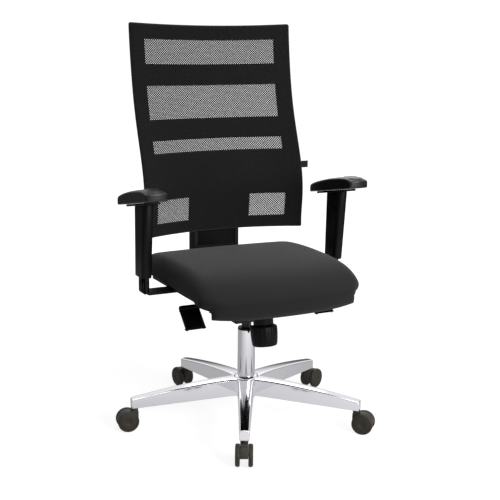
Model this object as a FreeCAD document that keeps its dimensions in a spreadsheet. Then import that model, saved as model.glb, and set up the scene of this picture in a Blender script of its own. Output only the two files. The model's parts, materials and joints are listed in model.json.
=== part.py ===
import FreeCAD, Part
import os
import re
import Sketcher

# Swivel office chair, in millimetres. +Z is up, the chair faces -Y and +X is the sitter's left.
# The origin is on the floor, on the axis that the seat swivels about.
# Every size below is a cell of the Sizes sheet, and each piece is bound to those cells.

os.makedirs("parts", exist_ok=True)

SIZES = {
    # Five-star base: hub and arched legs
    "leg_count": 5,
    "first_leg_angle": -117.1,
    "hub_radius": 37,
    "hub_top_radius": 31,
    "hub_bottom": 74,
    "hub_shoulder": 126,
    "hub_top": 132,
    "leg_root": 30,
    "leg_end": 337,
    "leg_top_root": 126,
    "leg_top_end": 91.7,
    "leg_arch": 1.6,
    "leg_bottom_root": 78,
    "leg_bottom_end": 65,
    "leg_half_root": 22.5,
    "leg_half_end": 13.5,
    "leg_bevel": 4,
    "leg_wall": 4.5,
    "hollow_open": 30,
    "hollow_start": 46,
    "hollow_end": 302,
    # Twin-wheel castors
    "stem_circle": 328,
    "castor_trail": 20,
    "wheel_radius": 30,
    "wheel_width": 12.5,
    "wheel_inner_face": 11,
    "wheel_bevel": 2,
    "wheel_dish": 2.5,
    "wheel_dish_radius": 22,
    "hood_radius": 29,
    "hood_width": 20,
    "hood_front": 10,
    "hood_bottom": 24,
    "hood_boss": 6,
    "neck_radius": 10.5,
    "neck_top": 64.7,
    "stem_radius": 5.5,
    "stem_bottom": 40,
    "stem_top": 86,
    "axle_radius": 3,
    "axle_half": 22,
    "running_gap": 0.05,
    "overcut": 1,
    # Gas lift
    "tube_radius": 25,
    "tube_wall": 2,
    "tube_bottom": 66,
    "tube_floor": 3,
    "tube_top": 268.7,
    "bush_bottom": 195,
    "collar_top": 274,
    "collar_radius": 24.5,
    "gas_radius": 14,
    "gas_wall": 2,
    "gas_bottom": 85,
    "gas_floor": 6,
    "gas_ceiling": 325,
    "gas_top": 345,
    "rod_radius": 5,
    "rod_end": 62,
    "flange_radius": 10,
    "flange_height": 2,
    "bearing_height": 6,
    "piston_bottom": 228,
    "piston_height": 12,
    "valve_radius": 3,
    "valve_bottom": 333,
    "valve_top": 353.5,
    # Mechanism housing, an open-topped casting
    "housing_half": 55,
    "housing_wall": 4,
    "housing_top": 374,
    "housing_front": -142,
    "housing_rear": 75,
    "housing_nose": 336,
    "housing_step_top": 326,
    "housing_step_front": -70,
    "housing_step_rear": -45,
    "housing_bottom": 300,
    "housing_heel_front": 38,
    "housing_heel_top": 325,
    "socket_radius": 22,
    "socket_top": 338,
    "front_pivot_y": -118,
    "front_pivot_z": 358,
    "front_pivot_radius": 5,
    "rear_pivot_y": 50,
    "rear_pivot_z": 330,
    "rear_pivot_radius": 6,
    "pivot_half": 72,
    # Tension knob below the housing, on an axis that leans forward
    "knob_lean": 10.5,
    "knob_y": -105,
    "knob_top": 307,
    "knob_radius": 38,
    "knob_base_radius": 35,
    "knob_height": 59,
    "knob_bevel": 4,
    "knob_taper": 1,
    "boss_radius": 28,
    "boss_length": 32,
    "boss_clear": 2,
    "screw_radius": 5,
    "screw_length": 70,
    "screw_end_gap": 10,
    "spring_wire": 2.4,
    "spring_radius": 13,
    "spring_pitch": 7.5,
    "spring_height": 22,
    "spring_start": 38,
    # Paddle levers
    "lever_y": -47,
    "lever_z": 365,
    "lever_rod": 5,
    "lever_root": 33,
    "lever_tip_gap": 6,
    "paddle_inner": 163,
    "paddle_outer": 237,
    "paddle_drop": 53,
    "paddle_thick": 4,
    "paddle_lip": 12,
    "finger_reach": 49,
    "finger_inner": -8,
    "finger_outer": 37,
    "finger_gap": 0.8,
    "finger_thick": 5.2,
    "finger_root": 2,
    # Seat
    "plate_half": 90,
    "plate_front": -128,
    "plate_rear": 150,
    "plate_bottom": 400,
    "plate_thick": 5.7,
    "flange_inner": 58,
    "flange_outer": 63,
    "flange_front": -128,
    "flange_rear": -100,
    "flange_bottom": 346,
    "pan_half": 226,
    "pan_rear": 182,
    "pan_bottom": 406,
    "pan_thick": 12,
    "pan_bend": -130,
    "pan_nose": -236,
    "pan_nose_z": 376,
    "pan_bow": 25,
    "pan_corner": 32,
    "pan_lip": 4,
    "pan_tuck": 8,
    "pan_slant": 6,
    "seat_half": 240,
    "seat_rear": 198,
    "seat_front": -268,
    "seat_bow": 25,
    "seat_corner": 40,
    "seat_top": 487,
    "seat_nose_bottom": 367,
    "cushion_tuck": 4,
    "cushion_nose_gap": 5,
    "cushion_gap": 0.9,
    "layer_gap": 0.3,
    "bolt_radius": 3,
    "bolt_head": 6,
    "bolt_head_height": 4,
    "bolt_x": 75,
    "bolt_front": -90,
    "bolt_rear": 128,
    "bolt_depth": 8,
    # Back carrier: a J-shaped bar with a channel that the back slides in
    "lug_inner": 58,
    "lug_outer": 66,
    "lug_front": 36,
    "lug_bottom": 316,
    "lug_below": 12,
    "lug_above": 14,
    "cross_front": 85,
    "cross_rear": 102,
    "cross_bottom": 338,
    "bar_half": 45,
    "bar_bottom": 356,
    "bar_top": 372,
    "bar_corner": 28,
    "channel_half": 73.5,
    "channel_front": 206,
    "channel_rear": 240,
    "channel_top": 545,
    "channel_floor": 425,
    "channel_lip": 476,
    "slider_half": 60,
    "slider_front": 210,
    "slider_rear": 229.5,
    "slider_bottom": 430,
    "slider_top": 700,
    "slide_gap": 0.4,
    "boss_half": 50,
    "boss_bottom": 570,
    "boss_top": 690,
    "boss_front": 202.6,
    # Backrest: height, middle and edge of its front face at seven levels
    "back_half": 251.4,
    "mesh_thick": 2,
    "frame_thick": 13,
    "window_half": 206,
    "low_window_inner": 96,
    "back_top_dip": 7,
    "back_screw_x": 30,
    "back_screw_low": 585,
    "back_screw_high": 675,
    "back_screw_radius": 2.5,
    "tag_length": 22,
    "tag_height": 20,
    "tag_thick": 2,
    "tag_bottom": 701,
    "tag_y": 145,
    # Armrests
    "bracket_root": 95,
    "bracket_bottom": 396,
    "bracket_thick": 8,
    "bracket_depth": 50,
    "bracket_top": 585,
    "bracket_bend": 14,
    "post_x": 300,
    "post_y": 29,
    "post_width": 30,
    "post_bottom": 445,
    "post_low_half": 32,
    "post_high_half": 40,
    "post_high_y": 17,
    "post_round": 12,
    "post_slot_top": 615,
    "pad_x": 305,
    "pad_width": 60,
    "pad_front": -97,
    "pad_rear": 148,
    "pad_bottom_front": 668,
    "pad_bottom_rear": 625.4,
    "pad_rear_drop": 12,
    "pad_corner": 20,
    "pad_plate_width": 44,
    "pad_plate_front": -50,
    "pad_plate_rear": 95,
    "pad_plate_thick": 6,
    "button_y": 20,
    "button_z": 598,
    "button_half": 5,
    "button_stroke": 3,
    "button_proud": 3.6,
    "button_gap": 0.2,
    "button_sunk": 2.8,
    "button_pocket": 7,
}

# Levels of the back's front face: height, then depth at the middle and at the edge.
BACK_LEVELS = [
    (524, 189, 132),
    (595, 185, 130),
    (665, 184, 130),
    (770, 205, 159),
    (860, 227, 190),
    (980, 246.5, 218),
    (1119, 252, 234),
]
# Window rows of the back frame: lower and upper edge, and how far each edge dips in the middle.
WINDOW_ROWS = [(559, 627, 0, 0), (756, 791, 0, 1), (850, 945, 2, 1), (1006, 1076, 4, 5)]
# Top line of an arm pad: depth and height.
PAD_TOP = [(-97, 688), (-60, 695), (-15, 690), (20, 684), (70, 673), (115, 660), (140, 650)]
# Top line of the seat cushion, from the rear to the nose: depth and height.
SEAT_TOP = [(198, 440), (192, 466), (150, 479), (60, 487), (-60, 486), (-160, 475),
            (-225, 453), (-262, 428), (-268, 410), (-258, 380), (-248, 367)]

for level, (level_z, level_middle, level_edge) in enumerate(BACK_LEVELS):
    SIZES[f"back_z_{level}_"] = level_z
    SIZES[f"back_middle_{level}_"] = level_middle
    SIZES[f"back_edge_{level}_"] = level_edge
for row, (row_low, row_high, low_dip, high_dip) in enumerate(WINDOW_ROWS):
    SIZES[f"window_low_{row}_"] = row_low
    SIZES[f"window_high_{row}_"] = row_high
    SIZES[f"window_low_dip_{row}_"] = low_dip
    SIZES[f"window_high_dip_{row}_"] = high_dip
for step, (top_y, top_z) in enumerate(PAD_TOP):
    SIZES[f"pad_y_{step}_"] = top_y
    SIZES[f"pad_z_{step}_"] = top_z
for step, (top_y, top_z) in enumerate(SEAT_TOP):
    SIZES[f"seat_y_{step}_"] = top_y
    SIZES[f"seat_z_{step}_"] = top_z

doc = FreeCAD.newDocument("swivel_chair")
sheet = doc.addObject("Spreadsheet::Sheet", "Sizes")
for line, (alias, number) in enumerate(SIZES.items(), start=1):
    sheet.set(f"A{line}", alias)
    sheet.set(f"B{line}", str(number))
    sheet.setAlias(f"B{line}", alias)
doc.recompute()

X_AXIS = FreeCAD.Vector(1, 0, 0)
Y_AXIS = FreeCAD.Vector(0, 1, 0)
Z_AXIS = FreeCAD.Vector(0, 0, 1)
PLANE_NORMAL = {"XY_Plane": 1, "YZ_Plane": 1, "XZ_Plane": -1}
RIGHT_THROUGH = 4000
pieces = []


# ---- Helpers: expressions, sketches and features ----

def bound(text):
    """The same expression with each size's name pointing at its cell."""
    def cell(match):
        word = match.group(0)
        return "Sizes." + word if word in SIZES else word
    return re.sub(r"[a-z_][a-z0-9_]*", cell, str(text))


def size(text):
    return float(sheet.evalExpression(bound(text)))


def new_body(label):
    body = doc.addObject("PartDesign::Body", label)
    body.Label = label
    pieces.append(body)
    return body


def new_sketch(body, plane, level="0"):
    """A sketch parallel to one of the body's own planes, at a level along that plane's axis."""
    sketch = body.newObject("Sketcher::SketchObject", "Sketch")
    support = [item for item in body.Origin.OriginFeatures if item.Role == plane][0]
    sketch.AttachmentSupport = [(support, "")]
    sketch.MapMode = "FlatFace"
    sketch.setExpression("AttachmentOffset.Base.z", bound(f"{PLANE_NORMAL[plane]} * ({level})"))
    return sketch


def pin_point(sketch, geometry, end, x, y):
    """Hold one point of a sketch at coordinates given as expressions."""
    for kind, text in (("DistanceX", x), ("DistanceY", y)):
        index = sketch.addConstraint(Sketcher.Constraint(kind, -1, 1, geometry, end, size(text)))
        sketch.setExpression(f"Constraints[{index}]", bound(text))


def outline(sketch, corners, arcs=None):
    """A closed outline. An edge named in arcs is the arc through the point given there."""
    arcs = arcs or {}
    first = len(sketch.Geometry)
    count = len(corners)
    places = [FreeCAD.Vector(size(x), size(y), 0) for x, y in corners]
    for edge in range(count):
        start, end = places[edge], places[(edge + 1) % count]
        if edge in arcs:
            middle = FreeCAD.Vector(size(arcs[edge][0]), size(arcs[edge][1]), 0)
            clockwise = (middle - start).cross(end - start).z < 0
            sketch.addGeometry(Part.Arc(end, middle, start) if clockwise else Part.Arc(start, middle, end))
        else:
            sketch.addGeometry(Part.LineSegment(start, end))
    ends = [arc_ends(sketch.Geometry[first + edge], places[edge]) for edge in range(count)]
    for edge in range(count):
        after = (edge + 1) % count
        sketch.addConstraint(Sketcher.Constraint(
            "Coincident", first + edge, ends[edge][1], first + after, ends[after][0]))
    for edge, (x, y) in enumerate(corners):
        pin_point(sketch, first + edge, ends[edge][0], x, y)
    for edge, (x, y) in arcs.items():
        point = sketch.addGeometry(Part.Point(FreeCAD.Vector(size(x), size(y), 0)), True)
        pin_point(sketch, point, 1, x, y)
        sketch.addConstraint(Sketcher.Constraint("PointOnObject", point, 1, first + edge))


def arc_ends(curve, start):
    """Which end of a sketch curve lies at its start: an arc may be stored the other way round."""
    if curve.StartPoint.distanceToPoint(start) < curve.EndPoint.distanceToPoint(start):
        return 1, 2
    return 2, 1


def rectangle(sketch, low_x, high_x, low_y, high_y):
    outline(sketch, [(low_x, low_y), (high_x, low_y), (high_x, high_y), (low_x, high_y)])


def circle(sketch, x, y, radius):
    centre = FreeCAD.Vector(size(x), size(y), 0)
    index = sketch.addGeometry(Part.Circle(centre, Z_AXIS, size(radius)))
    pin_point(sketch, index, 3, x, y)
    rule = sketch.addConstraint(Sketcher.Constraint("Radius", index, size(radius)))
    sketch.setExpression(f"Constraints[{rule}]", bound(radius))


def pad(body, sketch, length, symmetric=False):
    feature = body.newObject("PartDesign::Pad", "Pad")
    feature.Profile = sketch
    feature.setExpression("Length", bound(length))
    feature.SideType = "Symmetric" if symmetric else "One side"
    doc.recompute()
    return feature


def cut(body, sketch, length=None, reverse=False, symmetric=False):
    """Remove a sketch's area right through the body, or to a length, and check that it did."""
    doc.recompute()
    before = body.Shape.Volume
    feature = body.newObject("PartDesign::Pocket", "Pocket")
    feature.Profile = sketch
    if length is None:
        feature.Length = RIGHT_THROUGH
    else:
        feature.setExpression("Length", bound(length))
    feature.Reversed = reverse
    if symmetric or length is None:
        feature.SideType = "Symmetric"
    doc.recompute()
    if body.Shape.Volume >= before:
        raise RuntimeError(f"{body.Label}: a pocket removed nothing")
    return feature


def turn(body, sketch):
    """Turn a profile about the sketch's upright axis."""
    feature = body.newObject("PartDesign::Revolution", "Revolution")
    feature.Profile = sketch
    feature.ReferenceAxis = (sketch, ["V_Axis"])
    doc.recompute()
    return feature


def loft(body, kind, sections):
    feature = body.newObject(kind, "Loft")
    feature.Profile = sections[0]
    feature.Sections = sections[1:]
    doc.recompute()
    return feature


def round_edges(body, radius, chosen):
    """Fillet the edges that a test picks."""
    doc.recompute()
    base = body.Tip
    names = [f"Edge{number}" for number, edge in enumerate(base.Shape.Edges, start=1) if chosen(edge)]
    feature = body.newObject("PartDesign::Fillet", "Fillet")
    feature.Base = (base, names)
    feature.setExpression("Radius", bound(radius))
    doc.recompute()


def runs_along(axis, test=None):
    """A test for straight edges along an axis, with a further test of the edge's middle."""
    def chosen(edge):
        if not isinstance(edge.Curve, Part.Line):
            return False
        if abs(edge.Curve.Direction.dot(axis)) < 0.97:
            return False
        return test is None or test(edge.CenterOfMass)
    return chosen


def turned_piece(label, profile):
    """A solid of revolution about Z, from radius and height pairs."""
    body = new_body(label)
    sketch = new_sketch(body, "XZ_Plane")
    outline(sketch, profile)
    turn(body, sketch)
    return body


def round_bar(label, plane, x, y, radius, half_length):
    """A round bar across one of the planes, centred on it."""
    body = new_body(label)
    sketch = new_sketch(body, plane)
    circle(sketch, x, y, radius)
    pad(body, sketch, f"2 * ({half_length})", symmetric=True)
    return body


# ---- Base ----

def leg_section(body, share, inset):
    """A leg's cross-section at a share of its length, from 0 at the root to 1 at the end."""
    reach = f"(leg_root + (leg_end - leg_root) * {share})"
    top = f"(leg_top_root - (leg_top_root - leg_top_end) * {share} ^ leg_arch - {inset})"
    floor = "(leg_bottom_root - hollow_open)" if inset != "0" else "leg_bottom_root"
    bottom = f"({floor} - (leg_bottom_root - leg_bottom_end) * {share})"
    half = f"(leg_half_root - (leg_half_root - leg_half_end) * {share} - {inset})"
    bevel = f"({top} - leg_bevel)"
    sketch = new_sketch(body, "YZ_Plane", reach)
    outline(sketch, [
        (f"-{half}", bottom),
        (half, bottom),
        (half, bevel),
        (f"{half} - leg_bevel", top),
        (f"leg_bevel - {half}", top),
        (f"-{half}", bevel),
    ])
    return sketch


def make_star_base():
    body = new_body("star_base")
    hub = new_sketch(body, "XZ_Plane")
    outline(hub, [
        ("tube_radius", "hub_bottom"),
        ("hub_radius", "hub_bottom"),
        ("hub_radius", "hub_shoulder"),
        ("hub_top_radius", "hub_top"),
        ("tube_radius", "hub_top"),
    ])
    turn(body, hub)
    shares = (0, 0.25, 0.5, 0.75, 1)
    leg = loft(body, "PartDesign::AdditiveLoft", [leg_section(body, share, "0") for share in shares])
    start = "(hollow_start - leg_root) / (leg_end - leg_root)"
    span = "(hollow_end - hollow_start) / (leg_end - leg_root)"
    hollow_sections = [leg_section(body, f"({start} + {span} * {share})", "leg_wall") for share in shares]
    hollow = loft(body, "PartDesign::SubtractiveLoft", hollow_sections)
    bore_sketch = new_sketch(body, "XY_Plane", "leg_bottom_end - overcut")
    circle(bore_sketch, "stem_circle", "0", "stem_radius + running_gap")
    bore = cut(body, bore_sketch, "stem_top - leg_bottom_end + 2 * overcut", reverse=True)
    pattern = body.newObject("PartDesign::PolarPattern", "Legs")
    pattern.Originals = [leg, hollow, bore]
    pattern.Axis = (hub, ["V_Axis"])
    pattern.setExpression("Occurrences", bound("leg_count"))
    body.Tip = pattern
    body.setExpression("Placement.Rotation.Angle", bound("first_leg_angle"))
    doc.recompute()


# ---- Castors ----

def castor_angle(index):
    return f"first_leg_angle + 360 / leg_count * {index}"


def place_on_leg(body, index, x="0", y="0", z="0", tilt=0):
    """Place a castor's piece: x runs outward from the stem's axis, y across and z up."""
    turn_out = FreeCAD.Rotation(Z_AXIS, size(castor_angle(index)))
    offset = FreeCAD.Vector(size(f"stem_circle + {x}"), size(y), size(z))
    body.Placement = FreeCAD.Placement(turn_out.multVec(offset), turn_out * FreeCAD.Rotation(X_AXIS, tilt))


def make_castor_hood(index):
    body = new_body(f"castor_hood_{index + 1}")
    side = new_sketch(body, "XZ_Plane")
    top = "(wheel_radius + hood_radius)"
    outline(side, [
        ("-hood_front", "hood_bottom"),
        ("castor_trail + hood_boss", "hood_bottom"),
        ("castor_trail + hood_radius", "wheel_radius"),
        ("castor_trail", top),
        ("-hood_front", top),
    ], {2: ("castor_trail + hood_radius * cos(45)", "wheel_radius + hood_radius * sin(45)")})
    pad(body, side, "hood_width", symmetric=True)
    neck = new_sketch(body, "XY_Plane", top)
    circle(neck, "0", "0", "neck_radius")
    pad(body, neck, f"neck_top - {top}")
    stem_hole = new_sketch(body, "XY_Plane", "neck_top")
    circle(stem_hole, "0", "0", "stem_radius")
    cut(body, stem_hole, "neck_top - stem_bottom")
    axle_hole = new_sketch(body, "XZ_Plane")
    circle(axle_hole, "castor_trail", "wheel_radius", "axle_radius")
    cut(body, axle_hole)
    place_on_leg(body, index)


def make_castor_wheel(index, side, sign):
    """One wheel, turned about its own axis, which then lies across the castor."""
    wheel = turned_piece(f"castor_wheel_{side}_{index + 1}", [
        ("axle_radius + running_gap", "0"),
        ("wheel_radius - wheel_bevel", "0"),
        ("wheel_radius", "wheel_bevel"),
        ("wheel_radius", "wheel_width - 2 * wheel_bevel"),
        ("wheel_radius - 2 * wheel_bevel", "wheel_width"),
        ("wheel_dish_radius", "wheel_width"),
        ("wheel_dish_radius - wheel_dish", "wheel_width - wheel_dish"),
        ("axle_radius + running_gap", "wheel_width - wheel_dish / 2"),
    ])
    place_on_leg(wheel, index, "castor_trail", f"{sign} * wheel_inner_face", "wheel_radius", -90 * sign)


def make_castors():
    for index in range(int(size("leg_count"))):
        make_castor_hood(index)
        stem = turned_piece(f"castor_stem_{index + 1}", [
            ("0", "stem_bottom"),
            ("stem_radius", "stem_bottom"),
            ("stem_radius", "stem_top"),
            ("0", "stem_top"),
        ])
        place_on_leg(stem, index)
        axle = round_bar(f"castor_axle_{index + 1}", "XZ_Plane", "0", "0", "axle_radius", "axle_half")
        place_on_leg(axle, index, "castor_trail", "0", "wheel_radius")
        make_castor_wheel(index, "left", 1)
        make_castor_wheel(index, "right", -1)


# ---- Gas lift ----

def make_gas_lift():
    tube_inside = "tube_radius - tube_wall"
    rod_hole = "rod_radius + running_gap"
    tube_floor = "tube_bottom + tube_floor"
    turned_piece("lift_outer_tube", [
        (rod_hole, "tube_bottom"),
        ("tube_radius", "tube_bottom"),
        ("tube_radius", "tube_top"),
        (tube_inside, "tube_top"),
        (tube_inside, tube_floor),
        (rod_hole, tube_floor),
    ])
    bush_hole = "gas_radius + running_gap"
    turned_piece("lift_guide_bush", [
        (bush_hole, "bush_bottom"),
        (tube_inside, "bush_bottom"),
        (tube_inside, "tube_top"),
        ("collar_radius", "tube_top"),
        ("collar_radius", "collar_top"),
        (bush_hole, "collar_top"),
    ])
    bearing_top = f"{tube_floor} + bearing_height"
    turned_piece("lift_thrust_bearing", [
        (rod_hole, tube_floor),
        ("flange_radius", tube_floor),
        ("flange_radius", bearing_top),
        (rod_hole, bearing_top),
    ])
    flange_bottom = f"{bearing_top} + running_gap"
    piston_top = "piston_bottom + piston_height"
    piston_radius = "gas_radius - gas_wall - running_gap"
    turned_piece("lift_piston_rod", [
        ("0", "rod_end"),
        ("rod_radius", "rod_end"),
        ("rod_radius", flange_bottom),
        ("flange_radius", flange_bottom),
        ("flange_radius", f"{flange_bottom} + flange_height"),
        ("rod_radius", f"{flange_bottom} + flange_height"),
        ("rod_radius", "piston_bottom"),
        (piston_radius, "piston_bottom"),
        (piston_radius, piston_top),
        ("0", piston_top),
    ])
    turned_piece("lift_cylinder", [
        (rod_hole, "gas_bottom"),
        ("gas_radius", "gas_bottom"),
        ("gas_radius", "gas_top"),
        ("valve_radius + running_gap", "gas_top"),
        ("valve_radius + running_gap", "gas_ceiling"),
        ("gas_radius - gas_wall", "gas_ceiling"),
        ("gas_radius - gas_wall", "gas_bottom + gas_floor"),
        (rod_hole, "gas_bottom + gas_floor"),
    ])
    turned_piece("lift_valve_pin", [
        ("0", "valve_bottom"),
        ("valve_radius", "valve_bottom"),
        ("valve_radius", "valve_top"),
        ("0", "valve_top"),
    ])


# ---- Mechanism ----

def knob_axis_placement(along="0"):
    """The frame of the knob's leaning axis: its origin is on the knob's top, moved along the axis."""
    lean = FreeCAD.Rotation(X_AXIS, -size("knob_lean"))
    start = FreeCAD.Vector(0, size("knob_y"), size("knob_top"))
    return FreeCAD.Placement(start + lean.multVec(FreeCAD.Vector(0, 0, size(along))), lean)


def make_housing():
    body = new_body("mechanism_housing")
    side = new_sketch(body, "YZ_Plane")
    outline(side, [
        ("housing_front", "housing_top"),
        ("housing_front", "housing_nose"),
        ("housing_step_front", "housing_step_top"),
        ("housing_step_rear", "housing_bottom"),
        ("housing_heel_front", "housing_bottom"),
        ("housing_rear", "housing_heel_top"),
        ("housing_rear", "housing_top"),
    ])
    pad(body, side, "2 * housing_half", symmetric=True)
    inside = new_sketch(body, "YZ_Plane")
    outline(inside, [
        ("housing_front + housing_wall", "housing_top + overcut"),
        ("housing_front + housing_wall", "housing_nose + housing_wall"),
        ("housing_step_front + housing_wall / 4", "housing_step_top + housing_wall"),
        ("housing_step_rear + housing_wall / 4", "housing_bottom + housing_wall"),
        ("housing_heel_front - housing_wall / 4", "housing_bottom + housing_wall"),
        ("housing_rear - housing_wall", "housing_heel_top + housing_wall"),
        ("housing_rear - housing_wall", "housing_top + overcut"),
    ])
    cut(body, inside, "2 * (housing_half - housing_wall)", symmetric=True)
    socket = new_sketch(body, "XY_Plane", "housing_bottom")
    circle(socket, "0", "0", "socket_radius")
    pad(body, socket, "socket_top - housing_bottom")
    boss = body.newObject("PartDesign::AdditiveCylinder", "Boss")
    boss.setExpression("Radius", bound("boss_radius"))
    boss.setExpression("Height", bound("boss_length"))
    boss.AttachmentSupport = [(body.Origin, "")]
    boss.MapMode = "ObjectXY"
    boss.AttachmentOffset = knob_axis_placement("boss_clear")
    screw_hole = body.newObject("PartDesign::SubtractiveCylinder", "ScrewHole")
    screw_hole.setExpression("Radius", bound("screw_radius + running_gap"))
    screw_hole.setExpression("Height", bound("screw_length"))
    screw_hole.AttachmentSupport = [(body.Origin, "")]
    screw_hole.MapMode = "ObjectXY"
    screw_hole.AttachmentOffset = knob_axis_placement("-boss_clear")
    bore = new_sketch(body, "XY_Plane")
    circle(bore, "0", "0", "gas_radius")
    cut(body, bore)
    shafts = new_sketch(body, "YZ_Plane")
    circle(shafts, "front_pivot_y", "front_pivot_z", "front_pivot_radius")
    circle(shafts, "rear_pivot_y", "rear_pivot_z", "rear_pivot_radius")
    circle(shafts, "lever_y", "lever_z", "lever_rod + running_gap")
    cut(body, shafts)


def make_knob():
    knob = turned_piece("tension_knob", [
        ("0", "-knob_height"),
        ("knob_base_radius - knob_bevel", "-knob_height"),
        ("knob_base_radius", "knob_bevel - knob_height"),
        ("knob_radius", "-knob_height / 2"),
        ("knob_radius - knob_taper", "-knob_bevel"),
        ("knob_radius - knob_taper - knob_bevel", "0"),
        ("0", "0"),
    ])
    knob.Placement = knob_axis_placement()
    screw = turned_piece("tension_screw", [
        ("0", "0"),
        ("screw_radius", "0"),
        ("screw_radius", "screw_length - screw_end_gap"),
        ("0", "screw_length - screw_end_gap"),
    ])
    screw.Placement = knob_axis_placement()
    spring = new_body("tension_spring")
    wire = new_sketch(spring, "XZ_Plane")
    circle(wire, "spring_radius", "0", "spring_wire")
    coil = spring.newObject("PartDesign::AdditiveHelix", "Coil")
    coil.Profile = wire
    coil.ReferenceAxis = (wire, ["V_Axis"])
    coil.Mode = "pitch-height-angle"
    coil.setExpression("Pitch", bound("spring_pitch"))
    coil.setExpression("Height", bound("spring_height"))
    spring.Placement = knob_axis_placement("spring_start")


def make_lever(label, sign, finger):
    """A rod across the housing's side with a sloping paddle on its outer end."""
    body = new_body(label)
    rod = new_sketch(body, "YZ_Plane", f"{sign} * (lever_root + paddle_outer - lever_tip_gap) / 2")
    circle(rod, "lever_y", "lever_z", "lever_rod")
    pad(body, rod, "paddle_outer - lever_tip_gap - lever_root", symmetric=True)
    paddle = new_sketch(body, "YZ_Plane", f"{sign} * (paddle_inner + paddle_outer) / 2")
    outline(paddle, [
        ("lever_y + paddle_thick", "lever_z + paddle_thick"),
        ("lever_y - paddle_thick", "lever_z + paddle_thick"),
        ("lever_y - paddle_drop", "lever_z - paddle_drop + 2 * paddle_thick"),
        ("lever_y - paddle_drop - paddle_thick / 2", "lever_z - paddle_drop - paddle_lip / 2"),
        ("lever_y - paddle_drop + 2 * paddle_thick", "lever_z - paddle_drop"),
        ("lever_y + 1.5 * paddle_thick", "lever_z - paddle_thick"),
    ])
    pad(body, paddle, "paddle_outer - paddle_inner", symmetric=True)
    if finger:
        pusher = new_sketch(body, "YZ_Plane", f"{sign} * (finger_inner + finger_outer) / 2")
        outline(pusher, [
            ("lever_y - lever_rod", "lever_z - finger_root"),
            ("lever_y + finger_reach", "valve_top + finger_gap"),
            ("lever_y + finger_reach", "valve_top + finger_gap + finger_thick"),
            ("lever_y - lever_rod", "lever_z + lever_rod"),
        ])
        pad(body, pusher, "finger_outer - finger_inner", symmetric=True)


def make_mechanism():
    make_housing()
    round_bar("front_pivot_shaft", "YZ_Plane", "front_pivot_y", "front_pivot_z",
              "front_pivot_radius", "pivot_half")
    round_bar("rear_pivot_shaft", "YZ_Plane", "rear_pivot_y", "rear_pivot_z",
              "rear_pivot_radius", "pivot_half")
    make_knob()
    make_lever("height_lever", -1, finger=True)
    make_lever("lock_lever", 1, finger=False)


# ---- Seat ----

def trim_plan(body, half, front, rear, bow, corner):
    """Keep only what lies inside a plan outline with a bowed front and clipped rear corners."""
    sketch = new_sketch(body, "XY_Plane")
    rectangle(sketch, "-2 * seat_half", "2 * seat_half", "2 * seat_front", "2 * seat_rear")
    outline(sketch, [
        (f"-({half})", f"{rear} - {corner}"),
        (f"-({half})", f"{front} + {bow}"),
        (half, f"{front} + {bow}"),
        (half, f"{rear} - {corner}"),
        (f"{half} - {corner}", rear),
        (f"{corner} - ({half})", rear),
    ], {1: ("0", front)})
    cut(body, sketch)


def bolt_places():
    return [(f"{sign} * bolt_x", y) for sign in (-1, 1) for y in ("bolt_front", "bolt_rear")]


def make_seat_plate():
    body = new_body("seat_plate")
    plate = new_sketch(body, "XY_Plane", "plate_bottom")
    rectangle(plate, "-plate_half", "plate_half", "plate_front", "plate_rear")
    pad(body, plate, "plate_thick")
    flanges = new_sketch(body, "XZ_Plane", "(flange_front + flange_rear) / 2")
    rectangle(flanges, "flange_inner", "flange_outer", "flange_bottom", "plate_bottom + overcut")
    rectangle(flanges, "-flange_outer", "-flange_inner", "flange_bottom", "plate_bottom + overcut")
    pad(body, flanges, "flange_rear - flange_front", symmetric=True)
    pivot = new_sketch(body, "YZ_Plane")
    circle(pivot, "front_pivot_y", "front_pivot_z", "front_pivot_radius + running_gap")
    cut(body, pivot)
    holes = new_sketch(body, "XY_Plane")
    for x, y in bolt_places():
        circle(holes, x, y, "bolt_radius")
    cut(body, holes)


def make_seat_pan():
    body = new_body("seat_pan")
    side = new_sketch(body, "YZ_Plane")
    outline(side, [
        ("pan_rear", "pan_bottom"),
        ("pan_bend", "pan_bottom"),
        ("pan_nose + pan_tuck", "pan_nose_z"),
        ("pan_nose", "pan_nose_z + pan_lip"),
        ("pan_nose + pan_lip", "pan_nose_z + pan_thick + pan_lip / 2"),
        ("pan_bend - pan_slant", "pan_bottom + pan_thick"),
        ("pan_rear", "pan_bottom + pan_thick"),
    ])
    pad(body, side, "2 * pan_half", symmetric=True)
    trim_plan(body, "pan_half", "pan_nose", "pan_rear", "pan_bow", "pan_corner")
    holes = new_sketch(body, "XY_Plane", "pan_bottom + bolt_depth")
    for x, y in bolt_places():
        circle(holes, x, y, "bolt_radius")
    cut(body, holes, "bolt_depth + overcut")


def make_seat_cushion():
    body = new_body("seat_cushion")
    side = new_sketch(body, "YZ_Plane")
    top = [(f"seat_y_{step}_", f"seat_z_{step}_") for step in range(len(SEAT_TOP))]
    under = "pan_bottom + pan_thick + layer_gap"
    outline(side, [("seat_rear - cushion_tuck", under)] + top + [
        ("pan_nose - cushion_nose_gap", "seat_nose_bottom"),
        ("pan_nose - cushion_nose_gap", "pan_nose_z + pan_thick"),
        ("pan_nose + pan_lip / 2", "pan_nose_z + pan_thick + pan_lip"),
        ("pan_bend - pan_slant - cushion_gap", f"{under} + layer_gap"),
    ])
    pad(body, side, "2 * seat_half", symmetric=True)
    trim_plan(body, "seat_half", "seat_front", "seat_rear", "seat_bow", "seat_corner")


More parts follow.
